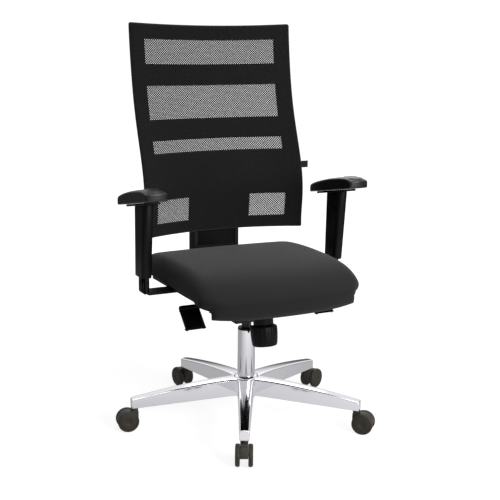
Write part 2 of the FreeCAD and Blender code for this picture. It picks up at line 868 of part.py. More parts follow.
def make_seat_bolts():
    bolts = []
    for x, y in bolt_places():
        for radius, low, length in (
            ("bolt_head", "plate_bottom - bolt_head_height", "bolt_head_height"),
            ("bolt_radius", "plate_bottom", "plate_thick + layer_gap + bolt_depth"),
        ):
            cylinder = doc.addObject("Part::Cylinder", "BoltPart")
            cylinder.setExpression("Radius", bound(radius))
            cylinder.setExpression("Height", bound(length))
            cylinder.setExpression("Placement.Base.x", bound(x))
            cylinder.setExpression("Placement.Base.y", bound(y))
            cylinder.setExpression("Placement.Base.z", bound(low))
            bolts.append(cylinder)
    fasteners = doc.addObject("Part::MultiFuse", "seat_bolts")
    fasteners.Label = "seat_bolts"
    fasteners.Shapes = bolts
    pieces.append(fasteners)


def make_seat():
    make_seat_plate()
    make_seat_pan()
    make_seat_cushion()
    make_seat_bolts()


# ---- Back ----

def make_back_carrier():
    body = new_body("back_carrier")
    bar = new_sketch(body, "YZ_Plane")
    rectangle(bar, "cross_front", "channel_rear", "bar_bottom", "bar_top + overcut")
    pad(body, bar, "2 * bar_half", symmetric=True)
    upright = new_sketch(body, "YZ_Plane")
    rectangle(upright, "channel_front", "channel_rear", "bar_bottom", "channel_top")
    pad(body, upright, "2 * channel_half", symmetric=True)
    cross = new_sketch(body, "YZ_Plane")
    rectangle(cross, "cross_front", "cross_rear", "cross_bottom", "bar_top")
    pad(body, cross, "2 * lug_outer", symmetric=True)
    for sign in (-1, 1):
        lug = new_sketch(body, "YZ_Plane", f"{sign} * (lug_inner + lug_outer) / 2")
        outline(lug, [
            ("lug_front", "lug_bottom"),
            ("rear_pivot_y + lug_below", "lug_bottom"),
            ("cross_rear", "cross_bottom"),
            ("cross_rear", "bar_top"),
            ("cross_front", "bar_top"),
            ("lug_front", "rear_pivot_z + lug_above"),
        ])
        pad(body, lug, "lug_outer - lug_inner", symmetric=True)
    pivot = new_sketch(body, "YZ_Plane")
    circle(pivot, "rear_pivot_y", "rear_pivot_z", "rear_pivot_radius + running_gap")
    cut(body, pivot)
    bottom = size("bar_bottom")
    rear = size("channel_rear")
    round_edges(body, "bar_corner", runs_along(
        X_AXIS, lambda middle: abs(middle.z - bottom) < 1 and abs(middle.y - rear) < 1))
    slot = new_sketch(body, "XY_Plane", "channel_floor")
    rectangle(slot, "-slider_half - slide_gap", "slider_half + slide_gap",
              "slider_front - slide_gap", "slider_rear + slide_gap")
    cut(body, slot, "channel_top - channel_floor + overcut", reverse=True)
    mouth = new_sketch(body, "XY_Plane", "channel_lip")
    rectangle(mouth, "-slider_half - slide_gap", "slider_half + slide_gap",
              "channel_front - overcut", "slider_front")
    cut(body, mouth, "channel_top - channel_lip + overcut", reverse=True)


def back_section(body, level, shift, thickness):
    """The back's curved cross-section at one level."""
    middle = f"(back_middle_{level}_ + {shift})"
    edge = f"(back_edge_{level}_ + {shift})"
    sketch = new_sketch(body, "XY_Plane", f"back_z_{level}_")
    outline(sketch, [
        ("-back_half", edge),
        ("back_half", edge),
        ("back_half", f"{edge} + {thickness}"),
        ("-back_half", f"{edge} + {thickness}"),
    ], {0: ("0", middle), 2: ("0", f"{middle} + {thickness}")})
    return sketch


def back_shell(label, shift, thickness):
    """A curved plate through all the levels, with a top edge that dips towards the middle."""
    body = new_body(label)
    levels = range(len(BACK_LEVELS))
    loft(body, "PartDesign::AdditiveLoft",
         [back_section(body, level, shift, thickness) for level in levels])
    above = new_sketch(body, "XZ_Plane")
    top = f"back_z_{len(BACK_LEVELS) - 1}_"
    outline(above, [
        ("-back_half", top),
        ("back_half", top),
        ("back_half", f"{top} + back_top_dip"),
        ("-back_half", f"{top} + back_top_dip"),
    ], {0: ("0", f"{top} - back_top_dip")})
    cut(body, above)
    return body


def dipped_window(sketch, row):
    """A full-width window whose edges are arcs that dip in the middle."""
    low, high = f"window_low_{row}_", f"window_high_{row}_"
    arcs = {}
    if size(f"window_low_dip_{row}_") > 0:
        arcs[0] = ("0", f"{low} - window_low_dip_{row}_")
    if size(f"window_high_dip_{row}_") > 0:
        arcs[2] = ("0", f"{high} - window_high_dip_{row}_")
    outline(sketch, [
        ("-window_half", low),
        ("window_half", low),
        ("window_half", high),
        ("-window_half", high),
    ], arcs)


def back_screw_places():
    return [(f"{sign} * back_screw_x", z) for sign in (-1, 1) for z in ("back_screw_low", "back_screw_high")]


def make_back_frame():
    body = back_shell("back_frame", "mesh_thick + layer_gap", "frame_thick")
    windows = new_sketch(body, "XZ_Plane")
    for row in range(1, len(WINDOW_ROWS)):
        dipped_window(windows, row)
    rectangle(windows, "low_window_inner", "window_half", "window_low_0_", "window_high_0_")
    rectangle(windows, "-window_half", "-low_window_inner", "window_low_0_", "window_high_0_")
    cut(body, windows)
    holes = new_sketch(body, "XZ_Plane")
    for x, z in back_screw_places():
        circle(holes, x, z, "back_screw_radius")
    cut(body, holes)


def make_back_slider():
    body = new_body("back_slider")
    plate = new_sketch(body, "YZ_Plane")
    rectangle(plate, "slider_front", "slider_rear", "slider_bottom", "slider_top")
    pad(body, plate, "2 * slider_half", symmetric=True)
    boss = new_sketch(body, "YZ_Plane")
    rectangle(boss, "boss_front", "slider_front + overcut", "boss_bottom", "boss_top")
    pad(body, boss, "2 * boss_half", symmetric=True)
    holes = new_sketch(body, "XZ_Plane")
    for x, z in back_screw_places():
        circle(holes, x, z, "back_screw_radius")
    cut(body, holes)


def make_back_screws():
    parts = []
    for x, z in back_screw_places():
        for radius, low, length in (
            ("back_screw_radius", "boss_front - frame_thick", "slider_rear - boss_front + frame_thick"),
            ("2 * back_screw_radius", "slider_rear", "back_screw_radius"),
        ):
            cylinder = doc.addObject("Part::Cylinder", "ScrewPart")
            cylinder.setExpression("Radius", bound(radius))
            cylinder.setExpression("Height", bound(length))
            place = FreeCAD.Vector(size(x), size(low), size(z))
            cylinder.Placement = FreeCAD.Placement(place, FreeCAD.Rotation(X_AXIS, -90))
            parts.append(cylinder)
    fasteners = doc.addObject("Part::MultiFuse", "back_screws")
    fasteners.Label = "back_screws"
    fasteners.Shapes = parts
    pieces.append(fasteners)


def make_side_tag():
    body = new_body("side_tag")
    sketch = new_sketch(body, "XZ_Plane", "tag_y")
    rectangle(sketch, "back_half", "back_half + tag_length",
              "tag_bottom", "tag_bottom + tag_height")
    pad(body, sketch, "tag_thick", symmetric=True)


def make_back():
    make_back_carrier()
    make_back_slider()
    make_back_frame()
    back_shell("back_mesh", "0", "mesh_thick")
    make_back_screws()
    make_side_tag()


# ---- Armrests ----

def make_arm_bracket(side, sign):
    """An L-shaped bar: bolted under the seat pan, then up inside the armrest's post."""
    body = new_body(f"arm_bracket_{side}")
    inner = f"{sign} * (post_x - bracket_thick / 2)"
    outer = f"{sign} * (post_x + bracket_thick / 2)"
    sketch = new_sketch(body, "XZ_Plane", "post_y")
    outline(sketch, [
        (f"{sign} * bracket_root", "bracket_bottom"),
        (outer, "bracket_bottom"),
        (outer, "bracket_top"),
        (inner, "bracket_top"),
        (inner, "bracket_bottom + bracket_thick"),
        (f"{sign} * bracket_root", "bracket_bottom + bracket_thick"),
    ])
    pad(body, sketch, "bracket_depth", symmetric=True)
    low = size("bracket_bottom")
    edge = size("post_x + bracket_thick / 2")
    round_edges(body, "bracket_bend", runs_along(
        Y_AXIS, lambda middle: abs(middle.z - low) < 1 and abs(abs(middle.x) - edge) < 1))


def make_arm_post(side, sign):
    body = new_body(f"arm_post_{side}")
    profile = new_sketch(body, "YZ_Plane", f"{sign} * post_x")
    front = "post_high_y - post_high_half"
    rear = "post_high_y + post_high_half"
    outline(profile, [
        ("post_y - post_low_half", "post_bottom"),
        ("post_y + post_low_half", "post_bottom"),
        (rear, f"{pad_bottom_at(rear)} - layer_gap - pad_plate_thick"),
        (front, f"{pad_bottom_at(front)} - layer_gap - pad_plate_thick"),
    ])
    pad(body, profile, "post_width", symmetric=True)
    round_edges(body, "post_round", runs_along(Z_AXIS))
    slot = new_sketch(body, "XY_Plane", "post_bottom - overcut")
    rectangle(slot, f"{sign} * post_x - bracket_thick / 2 - slide_gap",
              f"{sign} * post_x + bracket_thick / 2 + slide_gap",
              "post_y - bracket_depth / 2 - slide_gap", "post_y + bracket_depth / 2 + slide_gap")
    cut(body, slot, "post_slot_top - post_bottom + overcut", reverse=True)
    inner_face = f"{sign} * (post_x - post_width / 2)"
    pocket = new_sketch(body, "YZ_Plane", inner_face)
    half = "(button_half + button_gap)"
    rectangle(pocket, f"button_y - {half}", f"button_y + {half}", f"button_z - {half}", f"button_z + {half}")
    cut(body, pocket, "button_pocket", reverse=sign > 0)


def make_arm_button(side, sign):
    body = new_body(f"arm_button_{side}")
    middle = f"{sign} * (post_x - post_width / 2 + (button_sunk - button_proud) / 2)"
    sketch = new_sketch(body, "YZ_Plane", middle)
    rectangle(sketch, "button_y - button_half", "button_y + button_half",
              "button_z - button_half", "button_z + button_half")
    pad(body, sketch, "button_proud + button_sunk", symmetric=True)


def pad_bottom_at(y):
    """Height of an arm pad's sloping underside at a depth."""
    slope = "(pad_bottom_rear - pad_bottom_front) / (pad_rear - pad_front)"
    return f"(pad_bottom_front + {slope} * ({y} - pad_front))"


def make_pad_plate(side, sign):
    body = new_body(f"arm_pad_plate_{side}")
    sketch = new_sketch(body, "YZ_Plane", f"{sign} * post_x")
    front = pad_bottom_at("pad_plate_front")
    rear = pad_bottom_at("pad_plate_rear")
    outline(sketch, [
        ("pad_plate_front", f"{front} - layer_gap"),
        ("pad_plate_front", f"{front} - layer_gap - pad_plate_thick"),
        ("pad_plate_rear", f"{rear} - layer_gap - pad_plate_thick"),
        ("pad_plate_rear", f"{rear} - layer_gap"),
    ])
    pad(body, sketch, "pad_plate_width", symmetric=True)


def make_arm_pad(side, sign):
    body = new_body(f"arm_pad_{side}")
    sketch = new_sketch(body, "YZ_Plane", f"{sign} * pad_x")
    top = [(f"pad_y_{step}_", f"pad_z_{step}_") for step in range(len(PAD_TOP))]
    outline(sketch, [("pad_front", "pad_bottom_front")] + top + [
        ("pad_rear", f"{top[-1][1]} - pad_rear_drop"),
        ("pad_rear", "pad_bottom_rear"),
    ])
    pad(body, sketch, "pad_width", symmetric=True)
    corner_depth = size("pad_width / 2 - overcut")
    middle_x = sign * size("pad_x")
    round_edges(body, "pad_corner", runs_along(Z_AXIS, lambda middle: abs(middle.x - middle_x) > corner_depth))


def make_armrests():
    for side, sign in (("left", 1), ("right", -1)):
        make_arm_bracket(side, sign)
        make_arm_post(side, sign)
        make_arm_button(side, sign)
        make_pad_plate(side, sign)
        make_arm_pad(side, sign)


# ---- Build, check and write ----

def write_pieces():
    doc.recompute()
    for item in doc.Objects:
        if {"Invalid", "Error"} & set(item.State):
            raise RuntimeError(f"{item.Label}: {item.State}")
    for piece in pieces:
        if piece.Shape.isNull() or not piece.Shape.isValid():
            raise RuntimeError(f"{piece.Label}: shape not valid")
        piece.Shape.exportStep(os.path.join("parts", piece.Label + ".step"))
        print(f"{piece.Label}: {piece.Shape.Volume / 1000:.1f} cm3, {len(piece.Shape.Solids)} solid(s)")


make_star_base()
make_castors()
make_gas_lift()
make_mechanism()
make_seat()
make_back()
make_armrests()
write_pieces()
print(len(pieces), "pieces")
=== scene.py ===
"""Swivel office chair: the visible surfaces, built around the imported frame.

The chair faces -Y, +X is the sitter's left and +Z is up. Lengths are in metres: MM is one millimetre.
"""
import json
import math

import bmesh
import bpy
import numpy as np
from mathutils import Matrix, Vector
from mathutils.bvhtree import BVHTree


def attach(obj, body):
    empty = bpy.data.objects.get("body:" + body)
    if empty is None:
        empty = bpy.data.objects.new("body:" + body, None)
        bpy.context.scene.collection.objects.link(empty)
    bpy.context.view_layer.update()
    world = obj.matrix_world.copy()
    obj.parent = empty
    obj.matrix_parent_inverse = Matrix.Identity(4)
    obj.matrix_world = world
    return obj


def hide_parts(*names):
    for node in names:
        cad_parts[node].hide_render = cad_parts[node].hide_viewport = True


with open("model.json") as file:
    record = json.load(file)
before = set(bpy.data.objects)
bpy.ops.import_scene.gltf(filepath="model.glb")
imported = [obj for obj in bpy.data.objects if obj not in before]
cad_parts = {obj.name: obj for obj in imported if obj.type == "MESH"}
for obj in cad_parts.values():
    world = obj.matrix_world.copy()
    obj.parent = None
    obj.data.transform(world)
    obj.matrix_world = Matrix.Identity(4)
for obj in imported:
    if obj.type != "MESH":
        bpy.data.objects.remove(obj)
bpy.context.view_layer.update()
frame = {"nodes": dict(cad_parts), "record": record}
CAD = frame["nodes"]
MM = 0.001
SIDES = (("left", 1), ("right", -1))


# ---- Camera, light and floor ----

CAMERA_PLACE = (-1.2681, -2.5339, 1.0948)
CAMERA_HEADING = math.radians(-26.76)
CAMERA_DIP = math.radians(12.97)
CAMERA_ROLL = math.radians(0.53)
CAMERA_LENS = 74.23
CAMERA_SHIFT = 0.0388
SENSOR_WIDTH = 36

# Square lights: name, place, target, side and watts.
LIGHTS = [
    ("front_key", (0.9, -3.6, 1.5), (0, 0, 0.5), 1.8, 100),
    ("top_fill", (0.2, -0.6, 4.2), (0, 0, 0), 3.0, 32),
    ("back_rim", (1.4, 2.6, 2.2), (0, 0, 0.7), 1.5, 12),
]
# Dark cards: name, place, size and colour. They all face one point.
DARK_CARDS = [
    ("dark_card_left", (-2.4, -0.9, 0.35), (0.25, 1.0), (0.04, 0.04, 0.05)),
    ("dark_card_front", (0.15, -3.3, 0.25), (0.22, 0.8), (0.04, 0.04, 0.05)),
    ("dark_card_right", (2.2, -2.0, 0.35), (0.22, 1.0), (0.06, 0.06, 0.08)),
]
CARD_TARGET = (0, 0, 0.1)


def add_camera():
    data = bpy.data.cameras.new("camera")
    data.lens = CAMERA_LENS
    data.sensor_width = SENSOR_WIDTH
    data.shift_y = CAMERA_SHIFT
    camera = bpy.data.objects.new("camera", data)
    bpy.context.scene.collection.objects.link(camera)
    turn = Matrix.Rotation(CAMERA_HEADING, 4, "Z")
    tip = Matrix.Rotation(math.pi / 2 - CAMERA_DIP, 4, "X")
    roll = Matrix.Rotation(CAMERA_ROLL, 4, "Z")
    camera.matrix_world = Matrix.Translation(CAMERA_PLACE) @ turn @ tip @ roll
    bpy.context.scene.camera = camera


def aimed(place, target):
    """A placement at a point, with -Z turned towards the target."""
    aim = Vector(target) - Vector(place)
    return Matrix.Translation(place) @ aim.to_track_quat("-Z", "Y").to_matrix().to_4x4()


def add_area_light(name, place, target, side, power):
    data = bpy.data.lights.new(name, "AREA")
    data.shape = "RECTANGLE"
    data.size = data.size_y = side
    data.energy = power
    light = bpy.data.objects.new(name, data)
    bpy.context.scene.collection.objects.link(light)
    light.matrix_world = aimed(place, target)
    light.visible_camera = False


def add_card(name, place, target, size, color):
    """A panel that only shows in reflections, to draw bands in polished metal."""
    mesh = bpy.data.meshes.new(name)
    half_width, half_height = size[0] / 2, size[1] / 2
    corners = [(-half_width, -half_height, 0), (half_width, -half_height, 0),
               (half_width, half_height, 0), (-half_width, half_height, 0)]
    mesh.from_pydata(corners, [], [(0, 1, 2, 3)])
    card = bpy.data.objects.new(name, mesh)
    bpy.context.scene.collection.objects.link(card)
    card.matrix_world = aimed(place, target)
    material, tree, shader = principled(name, color, 1.0, specular=0.0)
    mesh.materials.append(material)
    card.visible_camera = False
    card.visible_diffuse = False
    card.visible_shadow = False
    return tree, shader


def add_floor():
    """The floor as the camera sees it: white and glowing by itself, with soft shadows near the chair, cast by
    the lamps and deepened by a painted shade where the glow is weaker.
    """
    side = 60
    # The floor glows by itself, a painted light: weaker near the chair, as a painted shade round it, and
    # stronger far off.
    near_glow, far_glow, fade_start, fade_end = 0.85, 1.05, 0.7, 2.2
    bpy.ops.mesh.primitive_plane_add(size=side, location=(0, 0, 0))
    floor = bpy.context.object
    floor.name = "studio_floor"
    material, tree, shader = principled("floor_white", (0.50, 0.50, 0.50), 0.8, specular=0.0)
    length = add_node(tree, "ShaderNodeVectorMath", {0: object_place(tree)}, operation="LENGTH")
    glow = between(tree, length.outputs["Value"], near_glow, far_glow, fade_start, fade_end)
    shader.inputs["Emission Color"].default_value = (1, 1, 1, 1)
    tree.links.new(glow, shader.inputs["Emission Strength"])
    floor.data.materials.append(material)
    floor.visible_diffuse = False
    floor.visible_glossy = False


def add_mirrored_floor():
    """The floor as polished metal shows it: a glowing sheet just under the floor that only reflections show,
    a painted reflection that is a bright patch, dimmer towards the rear.
    """
    middle, side, black = -0.2, 3.4, (0, 0, 0)
    front_glow, rear_glow, fade_start, fade_end = 1.2, 0.50, -0.9, 0.2
    tree, shader = add_card("mirrored_floor", (0, middle, -2 * MM), (0, middle, -1), (side, side), black)
    depth = add_node(tree, "ShaderNodeSeparateXYZ", {
        "Vector": add_node(tree, "ShaderNodeNewGeometry").outputs["Position"]}).outputs["Y"]
    # The sheet glows as a painted reflection of the floor: brighter at the front, dimmer towards the rear.
    shader.inputs["Emission Color"].default_value = (1, 1, 1, 1)
    glow = between(tree, depth, front_glow, rear_glow, fade_start, fade_end)
    tree.links.new(glow, shader.inputs["Emission Strength"])


def add_world(shown, lit, mirrored_low, mirrored_high):
    """White as seen, faint as light, and in reflections dim at eye level and brighter overhead."""
    world = bpy.data.worlds.new("studio")
    world.use_nodes = True
    tree = world.node_tree
    background = tree.nodes["Background"]
    background.inputs["Color"].default_value = (1, 1, 1, 1)
    height = add_node(tree, "ShaderNodeSeparateXYZ", {
        "Vector": add_node(tree, "ShaderNodeTexCoord").outputs["Generated"]}).outputs["Z"]
    dim_below, bright_above = 0.08, 0.28
    mirrored = between(tree, height, mirrored_low, mirrored_high, dim_below, bright_above)
    path = add_node(tree, "ShaderNodeLightPath")
    glossy = add_node(tree, "ShaderNodeMix", {"Factor": path.outputs["Is Glossy Ray"],
                                              "A": lit, "B": mirrored})
    seen = add_node(tree, "ShaderNodeMix", {"Factor": path.outputs["Is Camera Ray"],
                                            "A": glossy.outputs[0], "B": shown})
    tree.links.new(seen.outputs[0], background.inputs["Strength"])
    bpy.context.scene.world = world


def add_studio():
    add_world(shown=1.05, lit=0.09, mirrored_low=0.10, mirrored_high=0.95)
    add_floor()
    add_mirrored_floor()
    for name, place, target, side, power in LIGHTS:
        add_area_light(name, place, target, side, power)
    for name, place, size, color in DARK_CARDS:
        add_card(name, place, CARD_TARGET, size, color)
    bpy.context.scene.view_settings.view_transform = "Standard"


# ---- Materials ----

def principled(name, color, roughness, metallic=0.0, specular=0.5):
    """A new material, its node tree and its principled shader."""
    material = bpy.data.materials.new(name)
    material.use_nodes = True
    shader = material.node_tree.nodes["Principled BSDF"]
    shader.inputs["Base Color"].default_value = (*color, 1)
    shader.inputs["Roughness"].default_value = roughness
    shader.inputs["Metallic"].default_value = metallic
    shader.inputs["Specular IOR Level"].default_value = specular
    return material, material.node_tree, shader


def add_node(tree, kind, inputs=None, **settings):
    node = tree.nodes.new(kind)
    for key, value in settings.items():
        setattr(node, key, value)
    for key, value in (inputs or {}).items():
        if isinstance(value, bpy.types.NodeSocket):
            tree.links.new(value, node.inputs[key])
        else:
            node.inputs[key].default_value = value
    return node


def object_place(tree):
    """Object coordinates: metres along the chair's own axes."""
    return add_node(tree, "ShaderNodeTexCoord").outputs["Object"]


def noise(tree, scale, detail=3.0, roughness=0.55):
    return add_node(tree, "ShaderNodeTexNoise", {
        "Vector": object_place(tree), "Scale": scale, "Detail": detail, "Roughness": roughness,
    }).outputs["Fac"]


def between(tree, value, low, high, value_low=0.0, value_high=1.0):
    """Map a value from one range to another."""
    return add_node(tree, "ShaderNodeMapRange", {
        "Value": value, "From Min": value_low, "From Max": value_high, "To Min": low, "To Max": high,
    }).outputs["Result"]


def calculate(tree, operation, first, second=None):
    inputs = {0: first} if second is None else {0: first, 1: second}
    return add_node(tree, "ShaderNodeMath", inputs, operation=operation).outputs[0]


def blend_colors(tree, value, dark, light):
    node = add_node(tree, "ShaderNodeMix", data_type="RGBA")
    color_sockets = [socket for socket in node.inputs if socket.type == "RGBA"]
    factor = next(socket for socket in node.inputs if socket.name == "Factor" and socket.type == "VALUE")
    tree.links.new(value, factor)
    color_sockets[0].default_value = (*dark, 1)
    color_sockets[1].default_value = (*light, 1)
    return next(socket for socket in node.outputs if socket.type == "RGBA")


def bump(tree, shader, height, strength, distance):
    node = add_node(tree, "ShaderNodeBump", {"Height": height, "Strength": strength, "Distance": distance})
    tree.links.new(node.outputs["Normal"], shader.inputs["Normal"])


def plastic(name, dark, light, roughness, grain_scale, grain_depth, specular=0.3):
    """Moulded plastic or paint: fine grain, a little uneven in colour and gloss."""
    material, tree, shader = principled(name, dark, roughness, specular=specular)
    cloud = noise(tree, 14, 4)
    tree.links.new(blend_colors(tree, cloud, dark, light), shader.inputs["Base Color"])
    tree.links.new(between(tree, cloud, roughness - 0.06, roughness + 0.08), shader.inputs["Roughness"])
    bump(tree, shader, noise(tree, grain_scale, 2), 0.35, grain_depth)
    return material


def metal(name, color, roughness, haze, scale):
    """Polished metal with a faint haze of wiping marks and slight waviness."""
    material, tree, shader = principled(name, color, roughness, 1.0)
    gloss = between(tree, noise(tree, scale, 5), roughness, roughness + haze)
    tree.links.new(gloss, shader.inputs["Roughness"])
    bump(tree, shader, noise(tree, 30, 2), 0.03, 0.4 * MM)
    return material


def crossed_waves(tree, pitch, axes, diagonal):
    """A 0 to 1 pattern of two crossed sets of waves, along the axes or along their diagonals."""
    parts = add_node(tree, "ShaderNodeSeparateXYZ", {"Vector": object_place(tree)})
    first, second = (parts.outputs[axis] for axis in axes)
    if diagonal:
        first, second = calculate(tree, "ADD", first, second), calculate(tree, "SUBTRACT", first, second)
    rate = 2 * math.pi / pitch
    waves = [calculate(tree, "SINE", calculate(tree, "MULTIPLY", place, rate)) for place in (first, second)]
    return between(tree, calculate(tree, "MULTIPLY", *waves), 0.0, 1.0, -1.0, 1.0)


def fabric(name, dark, light, pitch, depth, axes, diagonal=False, sheen=0.2):
    """Crossed yarns with fibre fleck, uneven dyeing and a little fuzz; the weave's low spots are painted
    darker, a painted shade between the yarns.
    """
    material, tree, shader = principled(name, dark, 0.95, specular=0.15)
    weave = crossed_waves(tree, pitch, axes, diagonal)
    fleck = noise(tree, 900, 3, 0.7)
    height = calculate(tree, "ADD", weave, fleck)
    cloud = noise(tree, 9, 3)
    # Colour follows the weave's height: its low spots painted darker as painted shade, with the fleck and the
    # cloud as the yarns' own uneven tone.
    shade = calculate(tree, "MULTIPLY", height, between(tree, cloud, 0.42, 0.58))
    tree.links.new(blend_colors(tree, shade, dark, light), shader.inputs["Base Color"])
    bump(tree, shader, height, 0.5, depth)
    shader.inputs["Sheen Weight"].default_value = sheen
    shader.inputs["Sheen Roughness"].default_value = 0.5
    return material


def make_materials():
    return {
        "polished_aluminium": metal("polished_aluminium", (0.80, 0.79, 0.83), 0.06, 0.06, 9),
        "chrome": metal("chrome", (0.66, 0.66, 0.69), 0.05, 0.04, 6),
        "steel": metal("steel", (0.55, 0.55, 0.56), 0.25, 0.10, 60),
        "lift_paint": plastic("lift_paint", (0.09, 0.08, 0.065), (0.13, 0.115, 0.095),
                              0.35, 500, 0.05 * MM),
        "black_metal": plastic("black_metal", (0.006, 0.006, 0.0065), (0.010, 0.010, 0.0105),
                               0.45, 700, 0.15 * MM, 0.15),
        "cast_black": plastic("cast_black", (0.005, 0.005, 0.0055), (0.009, 0.009, 0.0095),
                              0.42, 400, 0.2 * MM, 0.12),
        "black_plastic": plastic("black_plastic", (0.0035, 0.0035, 0.0037), (0.006, 0.006, 0.0063),
                                 0.40, 900, 0.12 * MM, 0.12),
        "arm_pad_skin": plastic("arm_pad_skin", (0.008, 0.008, 0.0085), (0.012, 0.012, 0.0125),
                                0.36, 600, 0.10 * MM, 0.5),
        "castor_plastic": plastic("castor_plastic", (0.043, 0.038, 0.029), (0.056, 0.049, 0.037),
                                  0.45, 700, 0.12 * MM),
        "castor_tread": plastic("castor_tread", (0.037, 0.033, 0.025), (0.050, 0.044, 0.034),
                                0.55, 500, 0.15 * MM),
        "seat_fabric": fabric("seat_fabric", (0.014, 0.014, 0.0145), (0.034, 0.034, 0.035),
                              1.5 * MM, 0.30 * MM, "XY"),
        "mesh_fabric": fabric("mesh_fabric", (0.007, 0.007, 0.0075), (0.020, 0.020, 0.021),
                              1.2 * MM, 0.20 * MM, "XZ", diagonal=True),
        "tag_fabric": fabric("tag_fabric", (0.010, 0.010, 0.010), (0.030, 0.030, 0.030),
                             0.8 * MM, 0.15 * MM, "XZ"),
    }


# ---- Mesh helpers ----

def smooth_curve(knots):
    """A natural cubic spline through (x, y) knots, as a function of x."""
    xs, ys = (np.array(column, float) for column in zip(*sorted(knots)))
    steps = np.diff(xs)
    count = len(xs)
    system = np.eye(count)
    right = np.zeros(count)
    for index in range(1, count - 1):
        before, after = steps[index - 1], steps[index]
        system[index, index - 1:index + 2] = before, 2 * (before + after), after
        right[index] = 6 * ((ys[index + 1] - ys[index]) / after - (ys[index] - ys[index - 1]) / before)
    bends = np.linalg.solve(system, right)

    def value(x):
        x = np.clip(x, xs[0], xs[-1])
        index = np.clip(np.searchsorted(xs, x, side="right") - 1, 0, count - 2)
        step, left, rest = steps[index], x - xs[index], xs[index + 1] - x
        return (bends[index] * rest ** 3 + bends[index + 1] * left ** 3) / (6 * step) \
            + (ys[index] / step - bends[index] * step / 6) * rest \
            + (ys[index + 1] / step - bends[index + 1] * step / 6) * left
    return value


def finish_piece(name, mesh, slot, body, replaces=(), place=None):
    """Link a mesh as a piece: its place, material, body and the nodes that it stands for."""
    if place is not None:
        mesh.transform(place)
        if place.determinant() < 0:
            mesh.flip_normals()
    piece = bpy.data.objects.new(name, mesh)
    bpy.context.scene.collection.objects.link(piece)
    mesh.materials.clear()
    mesh.materials.append(materials[slot])
    mesh.shade_smooth()
    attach(piece, body)
    if replaces:
        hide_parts(*replaces)
    return piece


def mesh_from(points, faces):
    mesh = bpy.data.meshes.new("mesh")
    mesh.from_pydata([tuple(point) for point in points], [], [tuple(face) for face in faces])
    mesh.validate()
    return mesh


def joined(meshes):
    """One mesh holding several."""
    shape = bmesh.new()
    for mesh in meshes:
        shape.from_mesh(mesh)
    whole = bpy.data.meshes.new("mesh")
    shape.to_mesh(whole)
    shape.free()
    return whole


def rings_to_mesh(rings, close_start=True, close_end=True):
    """Skin rings of equal point count, each a closed loop, into one surface."""
    count = len(rings[0])
    points = [point for ring in rings for point in ring]
    faces = []
    for level in range(len(rings) - 1):
        low, high = level * count, (level + 1) * count
        for step in range(count):
            after = (step + 1) % count
            faces.append((low + step, low + after, high + after, high + step))
    if close_start:
        faces.append(tuple(reversed(range(count))))
    if close_end:
        faces.append(tuple(range(len(points) - count, len(points))))
    return mesh_from(points, faces)


def lathe(profile, segments):
    """Turn (radius, height) pairs, in millimetres, about Z. A radius of 0 closes the end."""
    rings = []
    for radius, height in profile:
        radius = max(radius * MM, 0.01 * MM)
        rings.append([(radius * math.cos(angle), radius * math.sin(angle), height * MM)
                      for angle in np.linspace(0, 2 * math.pi, segments, endpoint=False)])
    return rings_to_mesh(rings, profile[0][0] == 0, profile[-1][0] == 0)


def rounded_outline(corners, radius, steps=6):
    """A convex outline, counter-clockwise, with rounded corners: points and their outward normals."""
    points, normals = [], []
    count = len(corners)
    for index, corner in enumerate(corners):
        corner = np.array(corner, float)
        before = np.array(corners[index - 1], float) - corner
        after = np.array(corners[(index + 1) % count], float) - corner
        before /= np.linalg.norm(before)
        after /= np.linalg.norm(after)
        half = math.acos(np.clip(before @ after, -1, 1)) / 2
        inward = (before + after) / np.linalg.norm(before + after)
        centre = corner + inward * radius / math.sin(half)
        start = np.array((before[1], -before[0]))
        end = np.array((-after[1], after[0]))
        start_angle = math.atan2(start[1], start[0])
        sweep = (math.atan2(end[1], end[0]) - start_angle) % (2 * math.pi)
        for share in np.linspace(0, 1, steps):
            angle = start_angle + sweep * share
            normal = np.array((math.cos(angle), math.sin(angle)))
            points.append(centre + normal * radius)
            normals.append(normal)
    return np.array(points), np.array(normals)


def stack(outline, steps):
    """Rings of an outline at (inset, height) steps, closed at both ends."""
    points, normals = outline
    return rings_to_mesh([[(*place, height) for place in points - normals * inset]
                          for inset, height in steps])


def round_steps(low, high, radius):
    """Steps of a plate from low to high, with both its edges rounded."""
    lower, upper = [], []
    for angle in np.linspace(0, math.pi / 2, 4):
        inset, fall = radius * (1 - math.sin(angle)), radius * (1 - math.cos(angle))
        lower.append((inset, low + fall))
        upper.append((inset, high - fall))
    return lower + upper[::-1]


def bevel_edges(piece, width, angle):
    """Round the edges that are sharper than an angle in degrees."""
    bevel = piece.modifiers.new("edges", "BEVEL")
    bevel.width = width
    bevel.segments = 3
    bevel.limit_method = "ANGLE"
    bevel.angle_limit = math.radians(angle)
    bevel.harden_normals = True


def softened(node, name, slot, body, width):
    """A copy of a CAD node with its hard edges rounded, in place of the node."""
    shape = bmesh.new()
    shape.from_mesh(CAD[node].data)
    bmesh.ops.remove_doubles(shape, verts=shape.verts, dist=0.01 * MM)
    bmesh.ops.dissolve_limit(shape, angle_limit=math.radians(0.5), verts=shape.verts, edges=shape.edges)
    mesh = bpy.data.meshes.new(name)
    shape.to_mesh(mesh)
    shape.free()
    piece = finish_piece(name, mesh, slot, body, [node])
    bevel_edges(piece, width, 32)
    return piece


# ---- Five-star base ----

LEG_ANGLES = [math.radians(-117.1 + 72 * index) for index in range(5)]
LEG_ROOT, LEG_END, STEM_CIRCLE = 30 * MM, 337 * MM, 328 * MM
LEG_WALL = 4.5 * MM
CROWN = 0.9 * MM
HUB_PROFILE = [(25.1, 74), (35.5, 74), (37, 75.5), (37, 120), (36.2, 124), (34.2, 128),
               (32, 130.6), (29.5, 132), (26.6, 132.3), (25.2, 131.4)]


def round_off(gap, radius):
    """How far a rounded edge has fallen away at a distance from the end."""
    if gap >= radius:
        return 0.0
    return radius - math.sqrt(max(radius ** 2 - (radius - gap) ** 2, 0.0))


